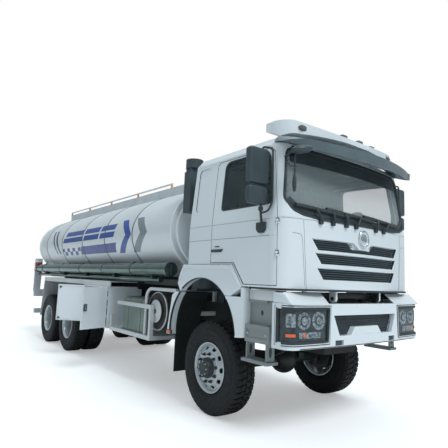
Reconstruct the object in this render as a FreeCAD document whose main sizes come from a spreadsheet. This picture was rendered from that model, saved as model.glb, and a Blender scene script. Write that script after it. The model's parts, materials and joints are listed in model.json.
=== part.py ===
"""Tanker truck: a six-wheel-drive forward-control chassis with a tilting cab and a liquid tank.

The drawing datum is the point on the ground below the first axle: X runs forward, Y to the
vehicle's left and Z up, in millimetres. Every sub-part is drawn from that datum, and its
Placement then moves it forward so that the whole truck is centred on the document's origin.
"""
import FreeCAD, Part
import math
import os

import Sketcher
from FreeCAD import Placement, Rotation, Vector

doc = FreeCAD.newDocument("TankerTruck")

# Driving dimensions
SIZES = {
    # whole vehicle
    "datum_forward": 3225,
    "half_width": 1245,
    "seam": 8,
    "fit_gap": 0.3,
    "running_fit": 0.05,
    "pivot_clearance": 6,
    # wheels and tyres
    "tyre_radius": 560,
    "tyre_width": 315,
    "rim_seat_radius": 286,
    "rim_flange_radius": 299,
    "rim_width": 280,
    "disc_thickness": 16,
    "hand_hole_radius": 24,
    "hand_hole_circle": 222,
    "hub_radius": 118,
    "front_wheel_side": 1020,
    "twin_wheel_side": 905,
    "twin_spacing": 350,
    # axles and suspension
    "first_rear_axle": 5090,
    "tandem_pitch": 1400,
    "axle_tube_radius": 62,
    "differential_radius": 190,
    "differential_offset": 150,
    "kingpin_side": 820,
    "kingpin_radius": 25,
    "spindle_radius": 48,
    "knuckle_half_height": 130,
    "axle_eye_half_height": 65,
    "spring_width": 80,
    "spring_reach": 620,
    "spring_depth": 90,
    "spring_rise": 175,
    "spring_leaf": 26,
    "spring_seat": 80,
    "shaft_radius": 42,
    # frame
    "rail_side": 430,
    "rail_width": 80,
    "rail_bottom": 1000,
    "rail_top": 1300,
    "rail_wall": 10,
    "frame_front": 1250,
    "frame_rear": 7850,
    "subframe_height": 100,
    # cab
    "cab_wall": 55,
    "cab_front": 1400,
    "cab_rear": 430,
    "cab_bottom": 1570,
    "cab_belt": 2330,
    "cab_gutter": 3150,
    "cab_roof_edge": 3245,
    "cab_crown": 3290,
    "cab_wheelhouse": 1822,
    "gutter_front": 1235,
    "gutter_half_width": 1172,
    "cab_corner": 205,
    "cab_bow": 105,
    "floor_thickness": 50,
    "windscreen_bottom": 2336,
    "windscreen_top": 3096,
    "windscreen_half_bottom": 1162,
    "windscreen_half_top": 1098,
    "grille_depth": 34,
    "grille_slope": 90,
    "roundel_radius": 100,
    "roundel_height": 2172,
    "panel_seam_height": 2303,
    "glass_thickness": 6,
    "glass_depth": 16,
    "door_rear": 63,
    "door_front": 1200,
    "door_top": 3118,
    "door_bottom": 1590,
    "door_heel": 505,
    "door_toe": 690,
    "door_top_front": 1085,
    "door_window_rear": 240,
    "door_window_front": 1095,
    "door_window_top_front": 1010,
    "door_window_bottom": 2480,
    "door_window_top": 3078,
    "tilt_axis_forward": 1300,
    "tilt_axis_height": 1470,
    "tilt_pin_radius": 20,
    # front end
    "bumper_front": 1457,
    "bumper_bottom": 970,
    "bumper_top": 1422,
    "bumper_wall": 45,
    "bumper_return": 1160,
    "lamp_inner": 700,
    "lamp_outer": 1262,
    "lamp_rear": 1236,
    "lamp_bottom": 1040,
    "lamp_top": 1370,
    "insert_half_width": 575,
    "insert_bottom": 1085,
    "insert_top": 1300,
    # arches
    "arch_radius": 700,
    "arch_back": 100,
    "arch_height": 945,
    "fender_side": 1262,
    "fender_depth": 85,
    "fender_split": 1450,
    "fender_top": 1815,
    # tank
    "tank_front": 950,
    "tank_rear": 7750,
    "tank_height": 2350,
    "tank_half_width": 1215,
    "tank_half_height": 805,
    "tank_flange": 22,
    "tank_head": 130,
    "band_width": 26,
    "band_proud": 6,
    "manhole_radius": 250,
    "manhole_top": 3252,
    "manhole_front": 2900,
    "manhole_rear": 5900,
    "lid_thickness": 36,
    "coaming_side": 500,
    "coaming_front": 1320,
    "coaming_rear": 7600,
    "coaming_top": 3250,
    "coaming_wall": 22,
    "rail_tube_radius": 16,
    "hose_tube_radius": 100,
    "hose_tube_side": 1145,
    "hose_tube_height": 1752,
    "hose_tube_front": 1040,
    "hose_tube_rear": 7880,
    "saddle_half_width": 700,
    "saddle_thickness": 60,
    # side equipment
    "skirt_side": 1245,
    "guard_tube": 58,
    "cabinet_front": 2950,
    "cabinet_rear": 4150,
    "cabinet_bottom": 705,
    "cabinet_top": 1435,
    "cabinet_back": 600,
    "cabinet_wall": 22,
    "leaf_width": 545,
    "leaf_thickness": 24,
    "leaf_pin_radius": 6,
    "front_leaf_open": 112,
    "rear_leaf_open": 135,
    "mudguard_front": 2920,
    "mudguard_rear": 6940,
    "mudguard_top": 1530,
    "mudguard_edge": 90,
    "silencer_centre": 1370,
    "silencer_height": 1130,
    "silencer_radius": 280,
    "fuel_tank_front": 1690,
    "fuel_tank_rear": 2450,
    "fuel_tank_bottom": 690,
    "fuel_tank_top": 1300,
}


class Length:
    """A number together with the spreadsheet expression that gives it."""

    def __init__(self, value, text=None):
        self.value = float(value)
        self.text = text if text else repr(float(value))

    def __float__(self):
        return self.value

    def combined(self, other, sign, value, swapped=False):
        first, second = (other, self) if swapped else (self, other)
        return Length(value, "(%s %s %s)" % (first.text, sign, second.text))

    def __add__(self, other):
        other = length(other)
        return self.combined(other, "+", self.value + other.value)

    __radd__ = __add__

    def __sub__(self, other):
        other = length(other)
        return self.combined(other, "-", self.value - other.value)

    def __rsub__(self, other):
        other = length(other)
        return self.combined(other, "-", other.value - self.value, swapped=True)

    def __mul__(self, other):
        other = length(other)
        return self.combined(other, "*", self.value * other.value)

    __rmul__ = __mul__

    def __truediv__(self, other):
        other = length(other)
        return self.combined(other, "/", self.value / other.value)

    def __neg__(self):
        return Length(-self.value, "(0 - %s)" % self.text)


def length(given):
    """A plain number or a Length, as a Length."""
    return given if isinstance(given, Length) else Length(given)


class Drawing:
    """The spreadsheet's values as named lengths."""


def fill_sheet():
    """Write each driving dimension into the sheet under its own alias."""
    sheet = doc.addObject("Spreadsheet::Sheet", "Sizes")
    for row, (word, value) in enumerate(SIZES.items(), start=1):
        sheet.set("A%d" % row, word)
        sheet.set("B%d" % row, str(value))
        sheet.setAlias("B%d" % row, word)
    doc.recompute()
    for word in SIZES:
        setattr(Drawing, word, Length(sheet.get(word), "Sizes." + word))
    return sheet


sheet = fill_sheet()
d = Drawing
SUBPARTS = []


# Building blocks
def bind(thing, prop, amount):
    """Drive one property of an object by an expression on the sheet."""
    amount = length(amount)
    thing.setExpression(prop, amount.text)


def box(name, x, y, z):
    """A block between a low and a high length along X, Y and Z."""
    solid = doc.addObject("Part::Box", name)
    for prop, side, (low, high) in zip(("Length", "Width", "Height"), "xyz", (x, y, z)):
        bind(solid, prop, length(high) - low)
        bind(solid, "Placement.Base." + side, low)
    return solid


TURNS = {
    "X": Rotation(Vector(0, 1, 0), 90),
    "Y": Rotation(Vector(1, 0, 0), -90),
    "Z": Rotation(),
}


def cylinder(name, axis, radius, centre, low, high):
    """A round bar along one axis; centre gives the other two coordinates in X, Y, Z order."""
    solid = doc.addObject("Part::Cylinder", name)
    solid.Placement = Placement(Vector(), TURNS[axis])
    bind(solid, "Radius", radius)
    bind(solid, "Height", length(high) - low)
    sides = [side for side in "xyz" if side != axis.lower()]
    bind(solid, "Placement.Base." + axis.lower(), low)
    for side, place in zip(sides, centre):
        bind(solid, "Placement.Base." + side, place)
    return solid


def fused(name, pieces):
    """Pieces that touch, joined into one solid."""
    solid = doc.addObject("Part::MultiFuse", name)
    solid.Shapes = pieces
    solid.Refine = True
    return solid


def cut(name, base, tools):
    """A base with one or more tools taken away."""
    solid = doc.addObject("Part::Cut", name)
    solid.Base = base
    solid.Tool = tools[0] if len(tools) == 1 else fused(name + "Tools", tools)
    solid.Refine = True
    return solid


def common(name, base, tool):
    """What two solids share."""
    solid = doc.addObject("Part::Common", name)
    solid.Base = base
    solid.Tool = tool
    return solid


def mirrored(name, source):
    """The same piece on the other side of the truck."""
    solid = doc.addObject("Part::Mirroring", name)
    solid.Source = source
    solid.Normal = Vector(0, 1, 0)
    return solid


def both_sides(name, source):
    """A piece and its mirror image."""
    return [source, mirrored(name, source)]


def shaped(name, shape):
    """A solid whose form is worked out in code from the sheet."""
    solid = doc.addObject("Part::Feature", name)
    solid.Shape = shape
    return solid


PLANES = {"side": "XZ_Plane", "front": "YZ_Plane", "top": "XY_Plane"}


def sketch(body, view, outline, offset=None):
    """A closed outline whose corners are bound to the sheet."""
    drawn = body.newObject("Sketcher::SketchObject", body.Name + "Outline")
    plane = [item for item in body.Origin.OriginFeatures if item.Role == PLANES[view]][0]
    drawn.AttachmentSupport = [(plane, "")]
    drawn.MapMode = "FlatFace"
    if offset is not None:
        bind(drawn, "AttachmentOffset.Base.z", offset)
    corners = [(length(a), length(b)) for a, b in outline]
    count = len(corners)
    for index, (a, b) in enumerate(corners):
        after = corners[(index + 1) % count]
        start = Vector(a.value, b.value, 0)
        end = Vector(after[0].value, after[1].value, 0)
        drawn.addGeometry(Part.LineSegment(start, end))
    for index in range(count):
        drawn.addConstraint(Sketcher.Constraint("Coincident", index, 2, (index + 1) % count, 1))
    for index, (a, b) in enumerate(corners):
        for kind, place in (("DistanceX", a), ("DistanceY", b)):
            rule = Sketcher.Constraint(kind, -1, 1, index, 1, place.value)
            number = drawn.addConstraint(rule)
            bind(drawn, "Constraints[%d]" % number, place)
    return drawn


def prism(name, view, outline, low, high):
    """An outline padded from a low to a high length across its plane."""
    body = doc.addObject("PartDesign::Body", name)
    base = -length(high) if view == "side" else length(low)
    drawn = sketch(body, view, outline, base)
    pad = body.newObject("PartDesign::Pad", name + "Pad")
    pad.Profile = drawn
    bind(pad, "Length", length(high) - low)
    return body


def turned(name, outline):
    """An outline of (across, radius) corners turned about the Y axis."""
    body = doc.addObject("PartDesign::Body", name)
    drawn = sketch(body, "front", outline)
    turn = body.newObject("PartDesign::Revolution", name + "Turn")
    turn.Profile = drawn
    turn.ReferenceAxis = (drawn, ["H_Axis"])
    turn.Angle = 360
    return body


def subpart(label, solids):
    """One named sub-part: a single solid, or like solids that do not touch."""
    whole = doc.addObject("Part::Compound", "Node_" + label)
    whole.Links = solids
    whole.Label = label
    bind(whole, "Placement.Base.x", d.datum_forward)
    SUBPARTS.append(whole)
    return whole


# Wheels and tyres
def tyre_outline():
    """Half across the tread, the shoulders, the side walls and the beads."""
    bead = d.rim_width / 2 - 26
    half = d.tyre_width / 2
    right = [
        (bead, d.rim_seat_radius),
        (half - 9, d.rim_seat_radius + 45),
        (half, d.tyre_radius - 140),
        (half - 16, d.tyre_radius - 32),
        (half - 44, d.tyre_radius),
    ]
    left = [(-across, radius) for across, radius in reversed(right)]
    return right + left


def rim_outline(centre):
    """The outer edge of a rim from its outer flange to its inner flange."""
    half = d.rim_width / 2
    seat = half - 20
    lip = half - 14
    edge = [
        (half, d.rim_flange_radius),
        (lip, d.rim_flange_radius),
        (seat, d.rim_seat_radius),
        (-seat, d.rim_seat_radius),
        (-lip, d.rim_flange_radius),
        (-half, d.rim_flange_radius),
    ]
    return [(centre + across, radius) for across, radius in edge]


def front_wheel_outline():
    """Rim, dished disc, planetary hub and brake drum, turned as one piece."""
    half = d.rim_width / 2
    well = d.rim_seat_radius - 20
    face = half + 8
    return [
        (face + 92, 0),
        (face + 92, d.hub_radius - 55),
        (face + 80, d.hub_radius - 26),
        (face + 34, d.hub_radius - 6),
        (face + 30, d.hub_radius + 4),
        (face, d.hub_radius + 6),
        (face, d.hub_radius + 74),
        (half - 26, d.hand_hole_circle + 16),
        (half - 44, well),
        (half - 16, well + 3),
    ] + rim_outline(0) + [
        (-half, d.rim_flange_radius - 16),
        (-half + 20, well),
        (half - 74, well - 6),
        (half - 44, d.hand_hole_circle + 4),
        (face - d.disc_thickness, d.hub_radius + 66),
        (face - d.disc_thickness - 50, 205),
        (-110, 205),
        (-110, d.spindle_radius + d.running_fit),
        (60, d.spindle_radius + d.running_fit),
        (60, 0),
    ]


def twin_wheel_outline():
    """Two rims bolted disc to disc, the hub cap and the brake drum."""
    half = d.rim_width / 2
    well = d.rim_seat_radius - 20
    outer = d.twin_spacing / 2
    return [
        (outer + 34, 0),
        (outer + 34, d.hub_radius - 48),
        (outer + 22, d.hub_radius - 16),
        (66, d.hub_radius),
        (34, d.hub_radius + 22),
        (34, d.hub_radius + 78),
        (60, d.hand_hole_circle + 20),
        (96, well - 4),
        (outer + half - 26, well),
    ] + rim_outline(outer) + [
        (35, d.rim_seat_radius - 30),
        (-35, d.rim_seat_radius - 30),
    ] + rim_outline(-outer) + [
        (-outer - half + 24, well),
        (-62, well - 6),
        (-34, 218),
        (-34, 205),
        (-250, 205),
        (-250, d.spindle_radius + d.running_fit),
        (150, d.spindle_radius + d.running_fit),
        (150, 0),
    ]


def hand_holes(name, low, high, count=8):
    """A ring of round bars that cut the disc's hand holes."""
    shapes = []
    for index in range(count):
        angle = 2 * math.pi * (index + 0.5) / count
        across = float(d.hand_hole_circle) * math.cos(angle)
        up = float(d.hand_hole_circle) * math.sin(angle)
        start = Vector(across, float(low), up)
        reach = float(high) - float(low)
        shapes.append(Part.makeCylinder(float(d.hand_hole_radius), reach, start, Vector(0, 1, 0)))
    return shaped(name, Part.makeCompound(shapes))


def placed(name, source, back, side, height, flip):
    """A wheel piece moved to its axle; flip turns it to face the right-hand side."""
    spot = doc.addObject("Part::Compound", name)
    spot.Links = [source]
    if flip:
        spot.Placement = Placement(Vector(), Rotation(Vector(0, 0, 1), 180))
    bind(spot, "Placement.Base.x", -length(back))
    bind(spot, "Placement.Base.y", side)
    bind(spot, "Placement.Base.z", height)
    return spot


def build_wheels():
    """Front single wheels and rear twin wheels with their tyres."""
    tyre = turned("TyreTurned", tyre_outline())
    front = turned("FrontWheelTurned", front_wheel_outline())
    front_disc = cut("FrontWheelDisc", front, [hand_holes("FrontHandHoles", 70, 160)])
    twin = turned("TwinWheelTurned", twin_wheel_outline())
    twin_disc = cut("TwinWheelDisc", twin, [hand_holes("TwinHandHoles", -20, 110)])
    for side_word, sign in (("left", 1), ("right", -1)):
        flip = sign < 0
        reach = d.front_wheel_side * sign
        where = (0, reach, d.tyre_radius, flip)
        subpart("front_tyre_" + side_word, [placed("FrontTyre" + side_word, tyre, *where)])
        subpart("front_wheel_" + side_word, [placed("FrontDisc" + side_word, front_disc, *where)])
        for number in (1, 2):
            back = d.first_rear_axle + (number - 1) * d.tandem_pitch
            mark = "%d_%s" % (number, side_word)
            tyres = []
            for place in (-0.5, 0.5):
                reach = (d.twin_wheel_side + place * d.twin_spacing) * sign
                name = "RearTyre%s_%d" % (mark, place > 0)
                tyres.append(placed(name, tyre, back, reach, d.tyre_radius, flip))
            subpart("rear_tyres_" + mark, tyres)
            reach = d.twin_wheel_side * sign
            wheel = placed("TwinDisc" + mark, twin_disc, back, reach, d.tyre_radius, flip)
            subpart("rear_wheels_" + mark, [wheel])


def build_knuckles():
    """Steering knuckles: a yoke about the axle eye, the kingpin and the wheel spindle."""
    low = d.tyre_radius - d.knuckle_half_height
    high = d.tyre_radius + d.knuckle_half_height
    eye_low = d.tyre_radius - d.axle_eye_half_height - d.fit_gap
    eye_high = d.tyre_radius + d.axle_eye_half_height + d.fit_gap
    back = d.front_wheel_side - 112
    web = back - 18
    arms = []
    for name, (bottom, top) in {"Lower": (low, eye_low), "Upper": (eye_high, high)}.items():
        round_end = cylinder(name + "ArmEnd", "Z", 60, (0, d.kingpin_side), bottom, top)
        arm = box(name + "Arm", (-60, 60), (d.kingpin_side, back), (bottom, top))
        arms += [round_end, arm]
    plate = box("KnuckleWeb", (-60, 60), (web, back), (low, high))
    pin = cylinder("Kingpin", "Z", d.kingpin_radius, (0, d.kingpin_side), low, high)
    spindle = cylinder("Spindle", "Y", d.spindle_radius, (0, d.tyre_radius), web,
                       d.front_wheel_side + 58)
    left = fused("KnuckleLeft", arms + [plate, pin, spindle])
    subpart("knuckle_left", [left])
    subpart("knuckle_right", [mirrored("KnuckleRight", left)])


def build_axles():
    """Driven front axle with its offset casing, and the two rear axles."""
    height = d.tyre_radius
    beam = cylinder("FrontBeam", "Y", d.axle_tube_radius, (0, height),
                    -d.kingpin_side, d.kingpin_side)
    pieces = [beam]
    bores = []
    for word, sign in (("Left", 1), ("Right", -1)):
        spot = (0, d.kingpin_side * sign)
        eye_low = height - d.axle_eye_half_height
        eye_high = height + d.axle_eye_half_height
        pieces.append(cylinder("AxleEye" + word, "Z", 58, spot, eye_low, eye_high))
        bore = d.kingpin_radius + d.running_fit
        bores.append(cylinder("AxleEyeBore" + word, "Z", bore, spot, eye_low - 9, eye_high + 9))
        seat = d.rail_side * sign
        pieces.append(box("SpringSeat" + word, (-90, 90), (seat - 55, seat + 55),
                          (height, height + d.spring_seat)))
    casing = doc.addObject("Part::Sphere", "FrontCasing")
    bind(casing, "Radius", d.differential_radius)
    bind(casing, "Placement.Base.y", d.differential_offset)
    bind(casing, "Placement.Base.z", height)
    nose = cylinder("FrontNose", "X", 70, (d.differential_offset, height), -330, 0)
    front = cut("FrontAxle", fused("FrontAxleBody", pieces + [casing, nose]), bores)
    subpart("front_axle", [front])

    rear = []
    for number in (1, 2):
        back = -(d.first_rear_axle + (number - 1) * d.tandem_pitch)
        inner = d.twin_wheel_side - 252
        tube = cylinder("RearTube%d" % number, "Y", d.axle_tube_radius + 13, (back, height),
                        -inner, inner)
        end = d.twin_wheel_side + 148
        spindle = cylinder("RearSpindle%d" % number, "Y", d.spindle_radius, (back, height),
                           -end, end)
        bulb = doc.addObject("Part::Sphere", "RearCasing%d" % number)
        bind(bulb, "Radius", d.differential_radius + 10)
        bind(bulb, "Placement.Base.x", back)
        bind(bulb, "Placement.Base.z", height)
        nose_back = back - 250 if number == 1 else back
        nose = cylinder("RearNose%d" % number, "X", 75, (0, height), nose_back, back + 330)
        seats = []
        for word, sign in (("L", 1), ("R", -1)):
            seat = d.rail_side * sign
            seats.append(box("RearSeat%d%s" % (number, word), (back - 90, back + 90),
                             (seat - 50, seat + 50), (height, height + 90)))
        rear.append(fused("RearAxle%d" % number, [tube, spindle, bulb, nose] + seats))
    subpart("rear_axles", rear)


def arc_band(name, ends, middle, thin, thick, side, width):
    """A bundle of leaves: thick at its middle and thin at its two ends."""
    (x_rear, z_rear), (x_front, z_front) = ends
    x_mid = (x_rear + x_front) / 2
    rise = thick if middle > (z_rear + z_front) / 2 else -thick
    top = [(x_rear, z_rear), (x_mid, middle), (x_front, z_front)]
    step = thin if rise < 0 else -thin
    low = [(x_rear, z_rear + step), (x_mid, middle - rise), (x_front, z_front + step)]
    points = [[Vector(x, side - width / 2, z) for x, z in row] for row in (top, low)]
    edges = [
        Part.Arc(*points[0]).toShape(),
        Part.LineSegment(points[0][2], points[1][2]).toShape(),
        Part.Arc(*reversed(points[1])).toShape(),
        Part.LineSegment(points[1][0], points[0][0]).toShape(),
    ]
    face = Part.Face(Part.Wire(edges))
    return shaped(name, face.extrude(Vector(0, width, 0)))


def build_springs():
    """Leaf springs: one pair on the front axle and one pair that balances the rear axles."""
    width = float(d.spring_width)
    side = float(d.rail_side)
    reach = float(d.spring_reach)
    depth = float(d.spring_depth)
    seat = float(d.tyre_radius + d.spring_seat)
    rise = float(d.spring_rise)
    leaf = float(d.spring_leaf)
    packs = []
    for word, sign in (("Left", 1), ("Right", -1)):
        ends = ((-reach, seat + rise), (reach, seat + rise))
        packs.append(arc_band("FrontSpring" + word, ends, seat, leaf, depth, sign * side, width))
        rear = -float(d.first_rear_axle + d.tandem_pitch) - 60
        front = -float(d.first_rear_axle) + 60
        hump = seat + 250
        ends = ((rear, seat + 10 + 34), (front, seat + 10 + 34))
        packs.append(arc_band("RearSpring" + word, ends, hump, 34, depth, sign * side, width))
    subpart("leaf_springs", packs)


build_wheels()
build_knuckles()
build_axles()
build_springs()


# Frame, engine and drive line
def build_frame():
    """Two channel rails with cross members, spring hangers and the cab's hinge posts."""
    inner = d.rail_side - d.rail_width / 2
    outer = d.rail_side + d.rail_width / 2
    channel = [
        (outer, d.rail_bottom),
        (outer, d.rail_top),
        (inner, d.rail_top),
        (inner, d.rail_top - d.rail_wall),
        (outer - d.rail_wall, d.rail_top - d.rail_wall),
        (outer - d.rail_wall, d.rail_bottom + d.rail_wall),
        (inner, d.rail_bottom + d.rail_wall),
        (inner, d.rail_bottom),
    ]
    rail = prism("Rail", "front", channel, -d.frame_rear, d.frame_front)
    pieces = both_sides("RailRight", rail)
    web = outer - d.rail_wall
    for number, back in enumerate((1260, 2550, 3700, 4650, 5790, 7000), start=1):
        low, high = d.rail_bottom + 60, d.rail_top - 60
        pieces.append(box("CrossMember%d" % number, (-length(back) - 50, -length(back) + 50),
                          (-web, web), (low, high)))
    pieces.append(box("RearMember", (-d.frame_rear, -d.frame_rear + 20), (-web, web),
                      (d.rail_bottom, d.rail_top)))
    bogie = -(d.first_rear_axle + d.tandem_pitch / 2)
    spring_half = d.spring_width / 2
    reach = d.spring_reach
    hangers = []
    spring_top = (d.tyre_radius + d.spring_seat + d.spring_rise + d.spring_leaf
                  + d.fit_gap)
    for word, place in (("Front", reach - 30), ("Rear", -reach + 30)):
        hangers.append(box("SpringHanger" + word, (place - 30, place + 30),
                           (d.rail_side - spring_half, d.rail_side + spring_half),
                           (spring_top, d.rail_bottom)))
    hangers.append(box("BogieHanger", (bogie - 110, bogie + 110),
                       (d.rail_side - spring_half, d.rail_side + spring_half),
                       (d.tyre_radius + 330, d.rail_bottom)))
    post = box("TiltPost", (d.tilt_axis_forward - 45, d.tilt_axis_forward + 25),
               (inner, inner + 22), (d.rail_top - 120, d.tilt_axis_height + 35))
    foot = box("TiltFoot", (d.frame_front - 60, d.tilt_axis_forward + 25), (inner, outer),
               (d.rail_top - 120, d.rail_top))
    pin = cylinder("TiltPin", "Y", d.tilt_pin_radius,
                   (d.tilt_axis_forward, d.tilt_axis_height), inner, inner + 60)
    for source in hangers + [post, foot, pin]:
        pieces += both_sides(source.Name + "Right", source)
    frame = fused("FrameWhole", pieces)
    tow = cylinder("TowBore", "X", 25, (0, d.rail_bottom + 150), -d.frame_rear - 9,
                   -d.frame_rear + 29)
    subpart("chassis_frame", [cut("FrameBored", frame, [tow])])


def build_engine():
    """The engine, its radiator and gearbox as one plain block, and the transfer case."""
    inner = d.rail_side - d.rail_width / 2
    engine = box("Engine", (-650, 1080), (-300, 300), (d.tyre_radius + 250, 1460))
    radiator = box("Radiator", (1080, 1180), (-370, 370), (960, 1450))
    gearbox = box("Gearbox", (-1150, -650), (-190, 190), (d.rail_bottom - 190, 1240))
    mount = box("EngineMount", (-120, 120), (-inner, inner), (1040, 1120))
    block = fused("EngineWhole", [engine, radiator, gearbox, mount])
    case = box("TransferCase", (-2300, -1900), (-150, 260), (500, 960))
    ears = box("TransferEars", (-2200, -2000), (-inner, inner), (1010, 1060))
    stem = box("TransferStem", (-2200, -2000), (-150, 260), (960, 1010))
    subpart("engine_block", [block, fused("TransferWhole", [case, stem, ears])])


def build_shafts():
    """Drive shafts between the gearbox, the transfer case and the three axles."""
    height = d.tyre_radius
    offset = d.differential_offset
    gap = d.fit_gap
    rear_nose = -d.first_rear_axle + 330
    through = -d.first_rear_axle - 250
    last_nose = -(d.first_rear_axle + d.tandem_pitch) + 330
    runs = (
        ("Main", (0, 870), -1900 + gap, -1150 - gap),
        ("Front", (offset, height), -1900 + gap, -330 - gap),
        ("Rear", (0, height), rear_nose + gap, -2300 - gap),
        ("Last", (0, height), last_nose + gap, through - gap),
    )
    shafts = []
    for word, centre, low, high in runs:
        tube = cylinder(word + "Shaft", "X", d.shaft_radius, centre, low, high)
        yokes = [
            cylinder(word + "YokeRear", "X", d.shaft_radius + 16, centre, low, length(low) + 60),
            cylinder(word + "YokeFront", "X", d.shaft_radius + 16, centre, length(high) - 60, high),
        ]
        shafts.append(fused(word + "ShaftWhole", [tube] + yokes))
    subpart("drive_shafts", shafts)


# Tank and what stands on it
def tank_half_width_at(height, grow=0.0):
    """The half width of the tank's oval at a height, with its outline grown by a margin."""
    wide = float(d.tank_half_width) + grow
    tall = float(d.tank_half_height) + grow
    part = (height - float(d.tank_height)) / tall
    return wide * math.sqrt(max(0.0, 1 - part * part))


def tank_top_at(side):
    """The height of the tank's upper surface at a distance from its middle."""
    part = side / float(d.tank_half_width)
    return float(d.tank_height) + float(d.tank_half_height) * math.sqrt(1 - part * part)


def oval_bar(rear, front, grow=0.0):
    """A bar of the tank's oval section."""
    wide = float(d.tank_half_width) + grow
    tall = float(d.tank_half_height) + grow
    ring = Part.Ellipse(Vector(0, 0, 0), wide, tall).toShape()
    face = Part.Face(Part.Wire([ring]))
    face.rotate(Vector(), Vector(1, 1, 1), 120)
    face.translate(Vector(rear, 0, float(d.tank_height)))
    return face.extrude(Vector(front - rear, 0, 0))


def tank_solid():
    """Barrel, end flanges and dished heads, turned and then pressed to the oval."""
    front = -float(d.tank_front)
    rear = -float(d.tank_rear)
    wide = float(d.tank_half_width)
    proud = wide + float(d.tank_flange)
    head = float(d.tank_head)
    ring = 34.0
    knee = wide - 60
    points = [
        (rear, 0.0),
        (rear, knee),
        (rear + 20, proud),
        (rear + 20 + ring, proud),
        (rear + 20 + ring, wide),
        (front - 20 - ring, wide),
        (front - 20 - ring, proud),
        (front - 20, proud),
        (front, knee),
        (front, 0.0),
    ]
    corners = [Vector(x, radius, 0) for x, radius in points]
    edges = [Part.LineSegment(a, b).toShape() for a, b in zip(corners[1:-1], corners[2:-1])]
    arc = knee * 0.55
    bulge = head * 0.72
    front_head = Part.Arc(corners[-2], Vector(front + bulge, arc, 0),
                          Vector(front + head, 0, 0)).toShape()
    rear_head = Part.Arc(Vector(rear - head, 0, 0), Vector(rear - bulge, arc, 0),
                         corners[1]).toShape()
    axis = Part.LineSegment(Vector(front + head, 0, 0), Vector(rear - head, 0, 0)).toShape()
    face = Part.Face(Part.Wire([rear_head] + edges + [front_head, axis]))
    round_tank = face.revolve(Vector(), Vector(1, 0, 0), 360)
    press = FreeCAD.Matrix()
    press.scale(Vector(1, 1, float(d.tank_half_height) / wide))
    oval = round_tank.transformGeometry(press)
    oval.translate(Vector(0, 0, float(d.tank_height)))
    return oval


def build_tank():
    """The tank with two manhole collars, the straps round it and the two lids."""
    pieces = [tank_solid()]
    radius = float(d.manhole_radius)
    top = float(d.manhole_top)
    foot = float(d.tank_height) + float(d.tank_half_height) - 60
    bore = 8 + float(d.running_fit)
    hinge_up = top + float(d.lid_thickness) / 2 + 4
    for place in (float(d.manhole_front), float(d.manhole_rear)):
        collar = Part.makeCylinder(radius, top - foot, Vector(-place, 0, foot))
        axle = -place - radius - 34
        for side in (-70, 50):
            post = Part.makeBox(32, 20, hinge_up + 14 - foot, Vector(axle - 20, side, foot))
            collar = collar.fuse(post)
        pin = Part.makeCylinder(8, 120, Vector(axle, -60, hinge_up), Vector(0, 1, 0))
        pieces.append(collar.fuse(pin))
    tank = pieces[0].multiFuse(pieces[1:]).removeSplitter()
    subpart("tank", [shaped("TankWhole", tank)])
    for word, place in (("front", float(d.manhole_front)), ("rear", float(d.manhole_rear))):
        start = top + float(d.fit_gap)
        lid = Part.makeCylinder(radius + 12, float(d.lid_thickness), Vector(-place, 0, start))
        dome = Part.makeCylinder(radius * 0.45, 22, Vector(-place, 0, start + 30))
        axle = -place - radius - 34
        thick = float(d.lid_thickness)
        ear = Part.makeBox(60, 90, thick, Vector(axle, -45, start))
        knuckle = Part.makeCylinder(20, 90, Vector(axle, -45, hinge_up), Vector(0, 1, 0))
        hole = Part.makeCylinder(bore, 90, Vector(axle, -45, hinge_up), Vector(0, 1, 0))
        below = Part.makeBox(90, 100, 60, Vector(axle - 45, -50, start - 60))
        whole = lid.fuse(dome).fuse(ear).fuse(knuckle).cut(hole).cut(below).removeSplitter()
        subpart("manhole_lid_" + word, [shaped("Lid" + word.title(), whole)])


def build_bands():
    """Thin straps round the barrel."""
    width = float(d.band_width)
    straps = []
    for number, place in enumerate((2235, 3403, 4589, 5912, 7114), start=1):
        outer = oval_bar(-place - width / 2, -place + width / 2, float(d.band_proud))
        inner = oval_bar(-place - width / 2, -place + width / 2, float(d.fit_gap))
        ring = outer.cut(inner)
        top = float(d.tank_height) + float(d.tank_half_height) - 90
        bottom = float(d.tank_height) - float(d.tank_half_height) - 90
        gap = Part.makeBox(200, 2 * float(d.coaming_side) + 160, 200,
                           Vector(-place - 100, -float(d.coaming_side) - 80, top))
        under = Part.makeBox(200, 2 * float(d.saddle_half_width) + 20, 245,
                             Vector(-place - 100, -float(d.saddle_half_width) - 10, bottom))
        straps += ring.cut(gap).cut(under).Solids
    subpart("tank_bands", [shaped("Bands", Part.makeCompound(straps))])


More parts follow.
